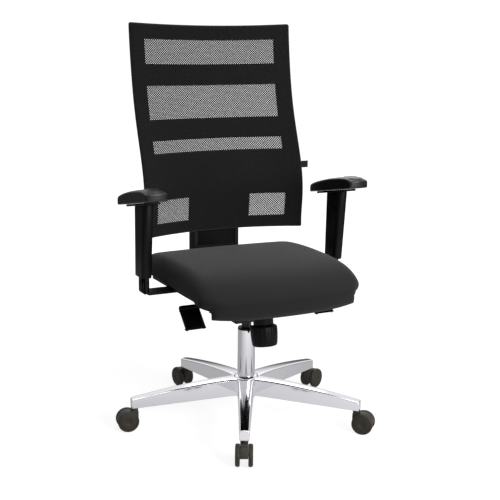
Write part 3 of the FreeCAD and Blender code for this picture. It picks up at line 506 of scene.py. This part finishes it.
def leg_ring(reach):
    """The cross-section of a leg, open underneath, at a distance from the chair's axis."""
    share = np.clip((reach - LEG_ROOT) / (LEG_END - LEG_ROOT), 0, 1)
    top = (126 - 34.3 * share ** 1.6) * MM
    bottom = (78 - 13 * share) * MM
    root_flare = 3.5 * MM * math.exp(-(reach - LEG_ROOT) / (14 * MM))
    half = (22.5 - 9 * share) * MM + root_flare
    to_end = LEG_END - reach
    half -= round_off(to_end, 3 * MM)
    top -= round_off(to_end, 3 * MM)
    corner = min(5 * MM, half * 0.8)
    ring = []
    for angle in np.linspace(0, math.pi / 2, 6):
        ring.append((half - corner + corner * math.cos(angle), top - corner + corner * math.sin(angle)))
    ring.append((0, top + CROWN))
    ring += [(-across, height) for across, height in ring[5::-1]]
    open_share = np.clip(min(reach - 48 * MM, 302 * MM - reach) / (14 * MM), 0, 1)
    roof = bottom + (top - LEG_WALL - bottom) * open_share ** 0.5
    inner = max(half - LEG_WALL, 0.3 * half)
    lip = min(1.2 * MM, half * 0.2)
    ring += [(-half, bottom + lip), (-half + lip, bottom), (-inner, bottom), (-inner + lip, roof)]
    ring += [(inner - lip, roof), (inner, bottom), (half - lip, bottom), (half, bottom + lip)]
    return [(reach, across, height) for across, height in ring]


def make_star_base():
    tip = 334 + 3 * np.sin(np.linspace(0, math.pi / 2, 6))
    reaches = np.concatenate([np.linspace(20, 60, 9), np.linspace(70, 290, 16),
                              np.linspace(300, 330, 6), tip]) * MM
    leg = rings_to_mesh([leg_ring(reach) for reach in reaches])
    legs = []
    for angle in LEG_ANGLES:
        copy = leg.copy()
        copy.transform(Matrix.Rotation(angle, 4, "Z"))
        legs.append(copy)
    hub = lathe(HUB_PROFILE, 96)
    piece = finish_piece("star_base_casting", joined(legs + [hub]), "polished_aluminium", "base",
                         ["star_base"])
    bevel_normals(piece)


def bevel_normals(piece):
    """Flat faces stay flat beside round ones."""
    piece.modifiers.new("normals", "WEIGHTED_NORMAL").keep_sharp = True


# ---- Castors ----

# Sizes and profiles of a castor are in millimetres.
TRAIL, AXLE_HEIGHT = 20, 30
HOOD_RADIUS, HOOD_CORNER, HOOD_HALF, HOOD_BACK = 28.7, 4, 10.6, -10
NECK_PROFILE = [(0, 56), (10.5, 56), (10.5, 63.6), (10.1, 64.4), (9.3, 64.7), (0, 64.7)]
WHEEL_PROFILE = [(3.1, 0.2), (26.5, 0), (28.2, 0.35), (29.3, 1.1), (29.9, 2.4), (30, 4), (30, 7.4),
                 (29.8, 9), (29.2, 10.5), (28, 11.6), (26.4, 12.3), (24.6, 12.5), (23.9, 12.45),
                 (23.6, 12.1), (23.4, 11.3), (22.9, 11.3), (22.7, 12), (22.3, 12.3), (18, 12.45),
                 (12, 12.4), (8, 12.2), (7.5, 11.9), (7.2, 11.2), (4, 11.1), (0, 11.1)]
WHEEL_GAP = 11


def castor_place(angle, x=0.0, y=0.0, z=0.0):
    """Outward from a castor's stem is x, across is y and up is z."""
    return Matrix.Rotation(angle, 4, "Z") @ Matrix.Translation((STEM_CIRCLE + x, y, z))


def with_normals(points):
    """A counter-clockwise outline with its outward normals."""
    points = np.array(points, float)
    along = np.roll(points, -1, axis=0) - np.roll(points, 1, axis=0)
    normals = np.stack([along[:, 1], -along[:, 0]], axis=1)
    return points, normals / np.linalg.norm(normals, axis=1)[:, None]


def hood_mesh():
    """The bridge between a castor's wheels: upright at the stem, round about the axle."""
    arc = [(TRAIL + HOOD_RADIUS * math.cos(angle), AXLE_HEIGHT + HOOD_RADIUS * math.sin(angle))
           for angle in np.linspace(math.radians(4), math.pi / 2, 22)]
    bend = [(HOOD_BACK + HOOD_CORNER - HOOD_CORNER * math.sin(angle),
             AXLE_HEIGHT + HOOD_RADIUS - HOOD_CORNER + HOOD_CORNER * math.cos(angle))
            for angle in np.linspace(0, math.pi / 2, 7)]
    below = [(HOOD_BACK, 26), (-8, 24.3), (TRAIL + 5, 24.3), (TRAIL + 26, 30)]
    points, normals = with_normals(arc + bend + below)
    body = stack((points * MM, normals), round_steps(-HOOD_HALF * MM, HOOD_HALF * MM, 0.8 * MM))
    body.transform(Matrix.Rotation(math.pi / 2, 4, "X"))
    return joined([body, lathe(NECK_PROFILE, 36)])


def make_castors():
    hood, wheel = hood_mesh(), lathe(WHEEL_PROFILE, 64)
    for index, angle in enumerate(LEG_ANGLES, start=1):
        finish_piece(f"castor_bridge_{index}", hood.copy(), "castor_plastic", f"castor_{index}",
                     [f"castor_hood_{index}"], castor_place(angle))
        for side, sign in SIDES:
            place = castor_place(angle, TRAIL * MM, sign * WHEEL_GAP * MM, AXLE_HEIGHT * MM)
            across = place @ Matrix.Rotation(-sign * math.pi / 2, 4, "X")
            finish_piece(f"castor_disc_{side}_{index}", wheel.copy(), "castor_tread", f"wheel_{side}_{index}",
                         [f"castor_wheel_{side}_{index}"], across)


# ---- Knob and levers ----

KNOB_PROFILE = [(0, -58.6), (16, -59), (28, -58.6), (31.5, -57.6), (33.6, -55.6), (34.8, -52.4),
                (36, -44), (37, -34), (37.6, -24), (37.8, -12), (37.4, -6), (36, -2.4), (33.5, -0.6),
                (30, 0), (0, 0)]
KNOB_PLACE, KNOB_LEAN = (0, -105 * MM, 307 * MM), math.radians(-10.5)
LEVER_AXIS = (0, -47 * MM, 365 * MM)
PADDLE_HALF_WIDTH, PADDLE_HALF_LENGTH = 37 * MM, 41 * MM
PADDLE_X, PADDLE_Y, PADDLE_Z = 200 * MM, -72.5 * MM, 338.5 * MM
ROD_PROFILE = [(0, 33), (4.4, 33), (5, 33.8), (5, 168), (6.6, 170), (7.2, 173), (7.2, 222),
               (6.2, 226), (0, 228)]
FINGER_CORNERS = [(-5 * MM, -3 * MM), (46 * MM, -8.5 * MM), (46 * MM, -4 * MM), (-5 * MM, 4 * MM)]


def make_knob():
    """A fluted grip, narrower towards its lower end."""
    flutes, depth = 18, 0.9 * MM
    mesh = lathe(KNOB_PROFILE, flutes * 8)
    for vertex in mesh.vertices:
        radius = math.hypot(vertex.co.x, vertex.co.y)
        on_side = np.clip((radius - 33 * MM) / (2 * MM), 0, 1) * np.clip(-vertex.co.z / (8 * MM), 0, 1)
        wave = max(0.0, math.cos(flutes * math.atan2(vertex.co.y, vertex.co.x))) ** 2
        vertex.co.xy *= 1 - depth * on_side * wave / radius if radius > 0 else 1
    lean = Matrix.Translation(KNOB_PLACE) @ Matrix.Rotation(KNOB_LEAN, 4, "X")
    finish_piece("tension_knob_grip", mesh, "black_plastic", "knob", ["tension_knob"], lean)


def paddle_mesh(sign):
    """A paddle at 45 degrees, with a shallow thumb recess and a lip below."""
    width, length = PADDLE_HALF_WIDTH, PADDLE_HALF_LENGTH
    outline = rounded_outline([(-width, -length), (width, -length), (width, length), (-width, length)],
                              7 * MM)
    recess = [(4.5 * MM, 3 * MM), (5.5 * MM, 2.2 * MM), (6.8 * MM, 1.9 * MM)]
    paddle = stack(outline, round_steps(-3 * MM, 3 * MM, 1.6 * MM) + recess)
    lip_height, lip_start = 14 * MM, 0.55
    for vertex in paddle.vertices:
        below = max(0.0, -vertex.co.y / length - lip_start)
        vertex.co.z += lip_height * below ** 2
    place = Matrix.Translation((sign * PADDLE_X, PADDLE_Y, PADDLE_Z))
    paddle.transform(place @ Matrix.Rotation(math.radians(45), 4, "X"))
    return paddle


def finger_mesh(sign):
    """The flat finger on the lever's rod that presses the lift's valve."""
    finger = stack(rounded_outline(FINGER_CORNERS, 1.2 * MM), round_steps(-8 * MM, 37 * MM, 1 * MM))
    _, axis_y, axis_z = LEVER_AXIS
    finger.transform(Matrix(((0, 0, sign, 0), (1, 0, 0, axis_y), (0, 1, 0, axis_z), (0, 0, 0, 1))))
    if sign < 0:
        finger.flip_normals()
    return finger


def make_lever(node, body, sign, has_finger):
    """A paddle on a round rod."""
    rod = lathe(ROD_PROFILE, 32)
    rod.transform(Matrix.Translation(LEVER_AXIS) @ Matrix.Rotation(sign * math.pi / 2, 4, "Y"))
    meshes = [paddle_mesh(sign), rod]
    if has_finger:
        meshes.append(finger_mesh(sign))
    finish_piece(f"{node}_paddle", joined(meshes), "black_plastic", body, [node])


# ---- Armrests ----

PAD_FRONT, PAD_REAR, PAD_HALF = -97 * MM, 148 * MM, 30 * MM
PAD_CREST = smooth_curve([(-97, 691), (-60, 695), (-15, 690.5), (20, 685), (70, 674), (115, 661),
                          (148, 648)])
PAD_UNDER_FRONT, PAD_UNDER_SLOPE = 668 * MM, 0.174
PAD_X, BOOT_X, BOOT_Y = 305 * MM, 300 * MM, 29 * MM
BOOT_CORNERS = [(-14, -31), (11, -31), (11, 31), (-14, 31)]
BOOT_STEPS = [(3 * MM, 398 * MM), (1 * MM, 400 * MM), (0, 404 * MM), (0, 446 * MM)]


def pad_underside(y):
    """The pad's underside slopes down to the rear."""
    return PAD_UNDER_FRONT - (y - PAD_FRONT) * PAD_UNDER_SLOPE


def pad_crest(x, y):
    """Height of an arm pad's top: its crest line, a slight crown and a raised oval at the front."""
    oval = (x / (25 * MM)) ** 2 + ((y + 58 * MM) / (33 * MM)) ** 2
    raised = 2.8 * MM * np.clip((1.12 - oval) / 0.3, 0, 1)
    crown = 1.6 * MM * (1 - (x / PAD_HALF) ** 2)
    return PAD_CREST(y / MM) * MM + raised + crown - 2.6 * MM


def pad_ring(y):
    """One cross-section of an arm pad, anticlockwise as seen from the front."""
    to_front, to_rear = y - PAD_FRONT, PAD_REAR - y
    half = PAD_HALF - round_off(to_front, 7 * MM) - round_off(to_rear, 24 * MM)
    drop = round_off(to_front, 4 * MM) + round_off(to_rear, 7 * MM)
    low = pad_underside(y) + round_off(to_front, 3 * MM) + round_off(to_rear, 3 * MM)
    edge = min(6.5 * MM, half * 0.6)
    ring = [(x, low) for x in np.linspace(-half + 3 * MM, half - 3 * MM, 5)]
    shoulder = pad_crest(half, y) - drop - edge
    ring += [(half - 0.8 * MM, low + 0.8 * MM), (half, low + 3 * MM)]
    ring += [(half + 0.4 * MM, (low + shoulder) / 2), (half, shoulder)]
    turn = np.linspace(0, math.pi / 2, 6)[1:]
    ring += [(half - edge * (1 - math.cos(angle)), pad_crest(half, y) - drop - edge * (1 - math.sin(angle)))
             for angle in turn]
    flat = half - edge
    ring += [(x, pad_crest(x, y) - drop + (pad_crest(half, y) - pad_crest(flat, y)) * (abs(x) / flat) ** 2)
             for x in np.linspace(flat, -flat, 21)[1:-1]]
    right_side = ring[5:14]
    ring += [(-x, z) for x, z in right_side[::-1]]
    return [(x, y, z) for x, z in ring]


def pad_mesh():
    """An arm pad about x = 0: a crowned top, nearly upright sides and a bowed front face."""
    ends = 1 - np.cos(np.linspace(0, math.pi / 2, 7))
    middle = np.linspace(PAD_FRONT + 10 * MM, PAD_REAR - 26 * MM, 50)
    stations = np.concatenate([PAD_FRONT + 7 * MM * ends, middle, PAD_REAR - 24 * MM * ends[::-1]])
    rings = [pad_ring(y) for y in stations]
    first = np.array(rings[0])
    centre = first.mean(axis=0)
    inner = [[tuple(point) for point in centre + (first - centre) * share]
             for share in (0.2, 0.45, 0.7, 0.88)]
    mesh = rings_to_mesh(inner + rings)
    bow, bow_reach = 5 * MM, 30 * MM
    for vertex in mesh.vertices:
        near_front = np.clip(1 - (vertex.co.y - PAD_FRONT) / bow_reach, 0, 1)
        vertex.co.y += bow * near_front ** 2 * (vertex.co.x / PAD_HALF) ** 2
    mesh.flip_normals()
    return mesh


def make_armrests():
    pad = pad_mesh()
    points, normals = rounded_outline(BOOT_CORNERS, 10, 8)
    boot_outline = points * MM, normals
    for side, sign in SIDES:
        place = Matrix.Translation((sign * PAD_X, 0, 0))
        skin = finish_piece(f"arm_pad_skin_{side}", pad.copy(), "arm_pad_skin", f"arm_{side}",
                            [f"arm_pad_{side}"], place)
        finer = skin.modifiers.new("finer", "SUBSURF")
        finer.levels = finer.render_levels = 1
        softened(f"arm_post_{side}", f"arm_sleeve_{side}", "black_plastic", f"arm_{side}", 1.5 * MM)
        softened(f"arm_pad_plate_{side}", f"arm_top_plate_{side}", "black_plastic", f"arm_{side}", 1.5 * MM)
        softened(f"arm_button_{side}", f"arm_release_{side}", "black_plastic", f"button_{side}", 0.8 * MM)
        softened(f"arm_bracket_{side}", f"arm_bar_{side}", "black_metal", "seat", 1.2 * MM)
        place = Matrix.Translation((sign * BOOT_X, BOOT_Y, 0)) @ Matrix.Diagonal((sign, 1, 1, 1))
        finish_piece(f"arm_boot_{side}", stack(boot_outline, BOOT_STEPS), "black_plastic", "seat", (), place)


# ---- Backrest ----

BACK_HALF, BACK_LOW, BACK_HIGH = 251.4 * MM, 524 * MM, 1119 * MM
PROBE_HALF = 245 * MM
WINDOW_HALF, LOW_WINDOW_INNER = 206 * MM, 96 * MM
WINDOW_ROWS = [(559 * MM, 627 * MM), (756 * MM, 791 * MM), (850 * MM, 945 * MM), (1006 * MM, 1076 * MM)]
DIP_START, DIP_DEPTH = 780 * MM, 7 * MM


def dip(x, z):
    """How far a level line of the back sags towards the middle: more and more towards the top."""
    share = np.clip((z - DIP_START) / (BACK_HIGH - DIP_START), 0, 1)
    return DIP_DEPTH * share ** 1.3 * (1 - (x / BACK_HALF) ** 2)


def surface_tree(node):
    shape = bmesh.new()
    shape.from_mesh(CAD[node].data)
    tree = BVHTree.FromBMesh(shape)
    shape.free()
    return tree


def back_shape():
    """The back's front face as a smooth function of x and z, fitted to the CAD shell."""
    tree = surface_tree("back_mesh")
    heights = np.linspace(BACK_LOW + 2 * MM, BACK_HIGH - 9 * MM, 60)

    def fitted(x):
        depths = [tree.ray_cast(Vector((x, 0, height)), Vector((0, 1, 0)))[0].y for height in heights]
        return np.polynomial.Polynomial.fit(heights, depths, 7)
    middle, edge = fitted(0.0), fitted(PROBE_HALF)

    def depth(x, z):
        z = np.clip(z, BACK_LOW, BACK_HIGH)
        sag = middle(z) - edge(z)
        radius = (PROBE_HALF ** 2 + sag ** 2) / (2 * sag)
        return middle(z) - (radius - np.sqrt(radius ** 2 - np.minimum(np.abs(x), BACK_HALF) ** 2))
    return depth


def wrapped(across, up, depth):
    """Bend a flat point of the cover round the frame's rim: over the front edge, along and behind."""
    front, rear, run, behind = 6 * MM, 3.5 * MM, 6.5 * MM, 9 * MM
    low, high = BACK_LOW + front, BACK_HIGH - front
    over_x = max(abs(across) - (BACK_HALF - front), 0)
    over_z = up - high if up > high else min(up - low, 0)
    reach = math.hypot(over_x, over_z)
    if reach == 0:
        level = up - dip(across, up)
        return across, depth(across, level), level
    first = front * math.pi / 2
    second = rear * math.pi / 2
    if reach < first:
        out, back = front * math.sin(reach / front), front * (1 - math.cos(reach / front))
    elif reach < first + run:
        out, back = front, front + reach - first
    elif reach < first + run + second:
        turn = (reach - first - run) / rear
        out, back = front - rear * (1 - math.cos(turn)), front + run + rear * math.sin(turn)
    else:
        out, back = front - rear - min(reach - first - run - second, behind), front + run + rear
    outward_x, outward_z = over_x / reach * math.copysign(1, across), over_z / reach
    x = math.copysign(min(abs(across), BACK_HALF - front), across) + out * outward_x
    z = min(max(up, low), high) + out * outward_z
    z -= dip(x, z)
    return x, depth(x, z) + back, z


def make_back_cover(depth):
    """One knitted sheet: diagonal threads with open diamonds between them, wrapped round the frame."""
    step, opening, wrap = 3.45 * MM, 0.50, 27 * MM
    columns = int((2 * (BACK_HALF + wrap - 6 * MM)) / step) | 1
    rows = int((BACK_HIGH - BACK_LOW + 2 * (wrap - 6 * MM)) / step) | 1
    start_x = -step * (columns - 1) / 2
    start_z = (BACK_LOW + BACK_HIGH) / 2 - step * (rows - 1) / 2
    points, index = [], {}
    for row in range(rows):
        for column in range(columns):
            if (row + column) % 2 == 0:
                index[column, row] = len(points)
                points.append((start_x + column * step, start_z + row * step))
    faces = []
    knit_edge = 5 * MM
    for row in range(1, rows - 1):
        for column in range(1, columns - 1):
            if (row + column) % 2 == 0:
                continue
            corners = [index[column, row - 1], index[column + 1, row],
                       index[column, row + 1], index[column - 1, row]]
            x, z = start_x + column * step, start_z + row * step
            inside = BACK_LOW + knit_edge < z < BACK_HIGH - knit_edge
            if abs(x) > BACK_HALF - knit_edge or not inside:
                faces.append(corners)
                continue
            first = len(points)
            points += [(x + (points[corner][0] - x) * opening, z + (points[corner][1] - z) * opening)
                       for corner in corners]
            for side in range(4):
                after = (side + 1) % 4
                faces.append((corners[side], corners[after], first + after, first + side))
    mesh = mesh_from([wrapped(x, z, depth) for x, z in points], faces)
    piece = finish_piece("back_cover", mesh, "mesh_fabric", "backrest", ["back_mesh"])
    thickness = piece.modifiers.new("thickness", "SOLIDIFY")
    thickness.thickness = 0.7 * MM
    thickness.offset = -1


def in_window(x, z):
    for row, (low, high) in enumerate(WINDOW_ROWS):
        if low < z < high and abs(x) < WINDOW_HALF and (row > 0 or abs(x) > LOW_WINDOW_INNER):
            return True
    return False


def grid_lines(low, high, stops, step):
    """Evenly spaced lines that include every stop."""
    marks = [low] + sorted(stops) + [high]
    lines = [low]
    for start, end in zip(marks, marks[1:]):
        count = max(1, round((end - start) / step))
        lines += list(np.linspace(start, end, count + 1)[1:])
    return lines


def make_back_frame(depth):
    """The moulded frame behind the cover: a curved plate with windows and rounded edges."""
    inset, front, rear = 1.6 * MM, 2.3 * MM, 15.2 * MM
    side_stops = [sign * place for sign in (-1, 1) for place in (WINDOW_HALF, LOW_WINDOW_INNER)]
    xs = grid_lines(-BACK_HALF + inset, BACK_HALF - inset, side_stops, 12 * MM)
    row_stops = [edge for row in WINDOW_ROWS for edge in row]
    zs = grid_lines(BACK_LOW + inset, BACK_HIGH - inset, row_stops, 12 * MM)
    shape = bmesh.new()
    grid = [[shape.verts.new((x, depth(x, z - dip(x, z)) + front, z - dip(x, z))) for x in xs] for z in zs]
    for row in range(len(zs) - 1):
        for column in range(len(xs) - 1):
            middle = (xs[column] + xs[column + 1]) / 2, (zs[row] + zs[row + 1]) / 2
            if not in_window(*middle):
                shape.faces.new((grid[row][column], grid[row][column + 1],
                                 grid[row + 1][column + 1], grid[row + 1][column]))
    loose = [vertex for vertex in shape.verts if not vertex.link_faces]
    bmesh.ops.delete(shape, geom=loose, context="VERTS")
    pushed = bmesh.ops.extrude_face_region(shape, geom=list(shape.faces), use_keep_orig=True)
    moved = [item for item in pushed["geom"] if isinstance(item, bmesh.types.BMVert)]
    bmesh.ops.translate(shape, verts=moved, vec=(0, rear - front, 0))
    bmesh.ops.recalc_face_normals(shape, faces=shape.faces)
    mesh = bpy.data.meshes.new("back_shell_frame")
    shape.to_mesh(mesh)
    shape.free()
    piece = finish_piece("back_shell_frame", mesh, "black_plastic", "backrest", ["back_frame"])
    bevel_edges(piece, 2.5 * MM, 50)


def make_back():
    depth = back_shape()
    make_back_frame(depth)
    make_back_cover(depth)
    softened("back_slider", "back_slide_plate", "black_plastic", "backrest", 1.5 * MM)
    softened("back_carrier", "back_bar", "cast_black", "back_carrier", 2.5 * MM)
    softened("side_tag", "side_label", "tag_fabric", "backrest", 0.5 * MM)


# ---- Seat ----

SEAT_HALF, SEAT_REAR, SEAT_NOSE, SEAT_EDGE = 239 * MM, 198 * MM, -268 * MM, 30 * MM
SEAT_TOP = [(198, 440), (192, 466), (150, 478), (60, 484), (-60, 483), (-160, 473),
            (-225, 453), (-262, 428), (-267, 410), (-259, 384), (-247, 368)]
SEAT_UNDER = [(192, 419), (186, 419), (148, 419), (60, 419), (-60, 419), (-126, 419),
              (-180, 408), (-222, 396), (-236, 389), (-240, 378), (-241, 368)]
REAR_ROUNDING, NOSE_ROUNDING = 36 * MM, 26 * MM
NOSE_START, NOSE_END = 5, 8
SEAT_CROWN, CORNER_BACK, CORNER_LIFT = 3 * MM, 24 * MM, 16 * MM
PAN_NARROWING, PAN_CORNER_SHIFT = 0.13, 9 * MM


def applied(piece):
    """Replace a piece's mesh by what its modifiers make of it."""
    graph = bpy.context.evaluated_depsgraph_get()
    mesh = bpy.data.meshes.new_from_object(piece.evaluated_get(graph))
    piece.modifiers.clear()
    piece.data = mesh


def smoothed(mesh, rounds, moving):
    """Relax a mesh, keeping the points that a test holds."""
    shape = bmesh.new()
    shape.from_mesh(mesh)
    free = [vertex for vertex in shape.verts if moving(vertex.co)]
    for _ in range(rounds):
        bmesh.ops.smooth_vert(shape, verts=free, factor=0.5,
                              use_axis_x=True, use_axis_y=True, use_axis_z=True)
    shape.to_mesh(mesh)
    shape.free()


def swell(piece, pressure, limit, held):
    """Blow a closed shell up as cloth, and cap how far any point may move."""
    start = np.array([vertex.co[:] for vertex in piece.data.vertices])
    pin = piece.vertex_groups.new(name="held")
    pin.add([index for index, place in enumerate(start) if held(place)], 1.0, "REPLACE")
    cloth = piece.modifiers.new("cloth", "CLOTH")
    cloth.settings.vertex_group_mass = "held"
    cloth.settings.use_pressure = True
    cloth.settings.uniform_pressure_force = pressure
    cloth.settings.quality = 5
    cloth.settings.effector_weights.gravity = 0
    scene = bpy.context.scene
    for step in range(1, 21):
        scene.frame_set(step)
    applied(piece)
    scene.frame_set(1)
    end = np.array([vertex.co[:] for vertex in piece.data.vertices])
    move = end - start
    length = np.maximum(np.linalg.norm(move, axis=1), 1e-9)
    end = start + move * np.minimum(1, limit / length)[:, None]
    piece.data.vertices.foreach_set("co", end.ravel())
    piece.data.update()


def seat_path(knots):
    """A smooth path through (y, z) knots in millimetres, by knot number."""
    along = smooth_curve([(number, y) for number, (y, _) in enumerate(knots)])
    up = smooth_curve([(number, z) for number, (_, z) in enumerate(knots)])
    return lambda number: np.array((along(number), up(number))) * MM


def seat_ring(number, top_path, bottom_path, inset):
    """One section across the seat, from its underside at the right round to its top and back."""
    top, bottom = top_path(number), bottom_path(number)
    top = top + (bottom - top) / np.linalg.norm(bottom - top) * inset
    to_rear, to_nose = SEAT_REAR - top[0], top[0] - SEAT_NOSE
    half = SEAT_HALF - round_off(max(to_rear, 0), REAR_ROUNDING) - inset
    if number > NOSE_START:
        half -= round_off(to_nose, NOSE_ROUNDING) if number < NOSE_END else NOSE_ROUNDING
    tall = np.linalg.norm(top - bottom)
    edge = min(SEAT_EDGE, 0.8 * tall)
    section = [(x, 0.0) for x in np.linspace(-half, half, 41)]
    section += [(half, height) for height in np.linspace(0, tall - edge, 5)[1:]]
    section += [(half - edge * (1 - math.cos(angle)), tall - edge * (1 - math.sin(angle)))
                for angle in np.linspace(0, math.pi / 2, 7)[1:]]
    section += [(x, tall) for x in np.linspace(half - edge, edge - half, 37)[1:-1]]
    section += [(-x, height) for x, height in section[50:40:-1]]
    upward = (top - bottom) / tall
    ring = []
    for x, height in section:
        crown = SEAT_CROWN * (1 - (x / SEAT_HALF) ** 2) * height / tall
        y, z = bottom + upward * (height + crown)
        frontward = np.clip((-150 * MM - y) / (110 * MM), 0, 1)
        corner = abs(x) / SEAT_HALF
        low_down = np.clip((430 * MM - z) / (60 * MM), 0, 1)
        y += CORNER_BACK * corner ** 2 * frontward
        z += CORNER_LIFT * corner ** 4 * frontward * low_down
        ring.append((x, y, z))
    return ring


def seat_cover_mesh():
    """The upholstery: a cushion with rounded sides whose front rolls down over the pan's nose."""
    top_path, bottom_path = seat_path(SEAT_TOP), seat_path(SEAT_UNDER)
    last = len(SEAT_TOP) - 1
    numbers = np.concatenate([[0, 0, 0], np.linspace(0, last, 70), [last, last]])
    insets = np.concatenate([[9, 4, 1], np.zeros(70), [1.5, 3]]) * MM
    mesh = rings_to_mesh([seat_ring(number, top_path, bottom_path, inset)
                          for number, inset in zip(numbers, insets)])
    shape = bmesh.new()
    shape.from_mesh(mesh)
    bmesh.ops.recalc_face_normals(shape, faces=shape.faces)
    shape.to_mesh(mesh)
    shape.free()
    return mesh


def make_seat_cushion():
    cover = finish_piece("seat_cushion_cover", seat_cover_mesh(), "seat_fabric", "seat", ["seat_cushion"])

    def at_hem(place):
        return place[2] < np.interp(place[1], [-268 * MM, -150 * MM], [380 * MM, 426 * MM])
    swell(cover, pressure=4, limit=3 * MM, held=at_hem)
    smoothed(cover.data, rounds=3, moving=lambda place: not at_hem(place))
    finer = cover.modifiers.new("finer", "SUBSURF")
    finer.levels = finer.render_levels = 1


def make_seat():
    make_seat_cushion()
    pan = softened("seat_pan", "seat_underpan", "black_plastic", "seat", 1.5 * MM)
    for vertex in pan.data.vertices:
        frontward = np.clip((-160 * MM - vertex.co.y) / (50 * MM), 0, 1)
        corner = abs(vertex.co.x) / SEAT_HALF
        vertex.co.x *= 1 - PAN_NARROWING * frontward
        vertex.co.y += PAN_CORNER_SHIFT * corner ** 2 * frontward
        vertex.co.z += PAN_CORNER_SHIFT * corner ** 4 * frontward
    softened("seat_plate", "seat_base_plate", "black_metal", "seat", 1.0 * MM)
    softened("mechanism_housing", "mechanism_casting", "cast_black", "mechanism", 2.0 * MM)


# ---- Build ----

def paint_cad_nodes():
    """Every carried-over CAD node takes the material of its slot."""
    slots = {part["node"]: part["material_slot"] for part in frame["record"]["subparts"]}
    for name, node in CAD.items():
        node.data.materials.clear()
        node.data.materials.append(materials[slots[name]])


materials = make_materials()
add_camera()
add_studio()
paint_cad_nodes()
make_star_base()
make_castors()
make_knob()
make_lever("height_lever", "height_paddle", -1, True)
make_lever("lock_lever", "lock_paddle", 1, False)
make_armrests()
make_back()
make_seat()
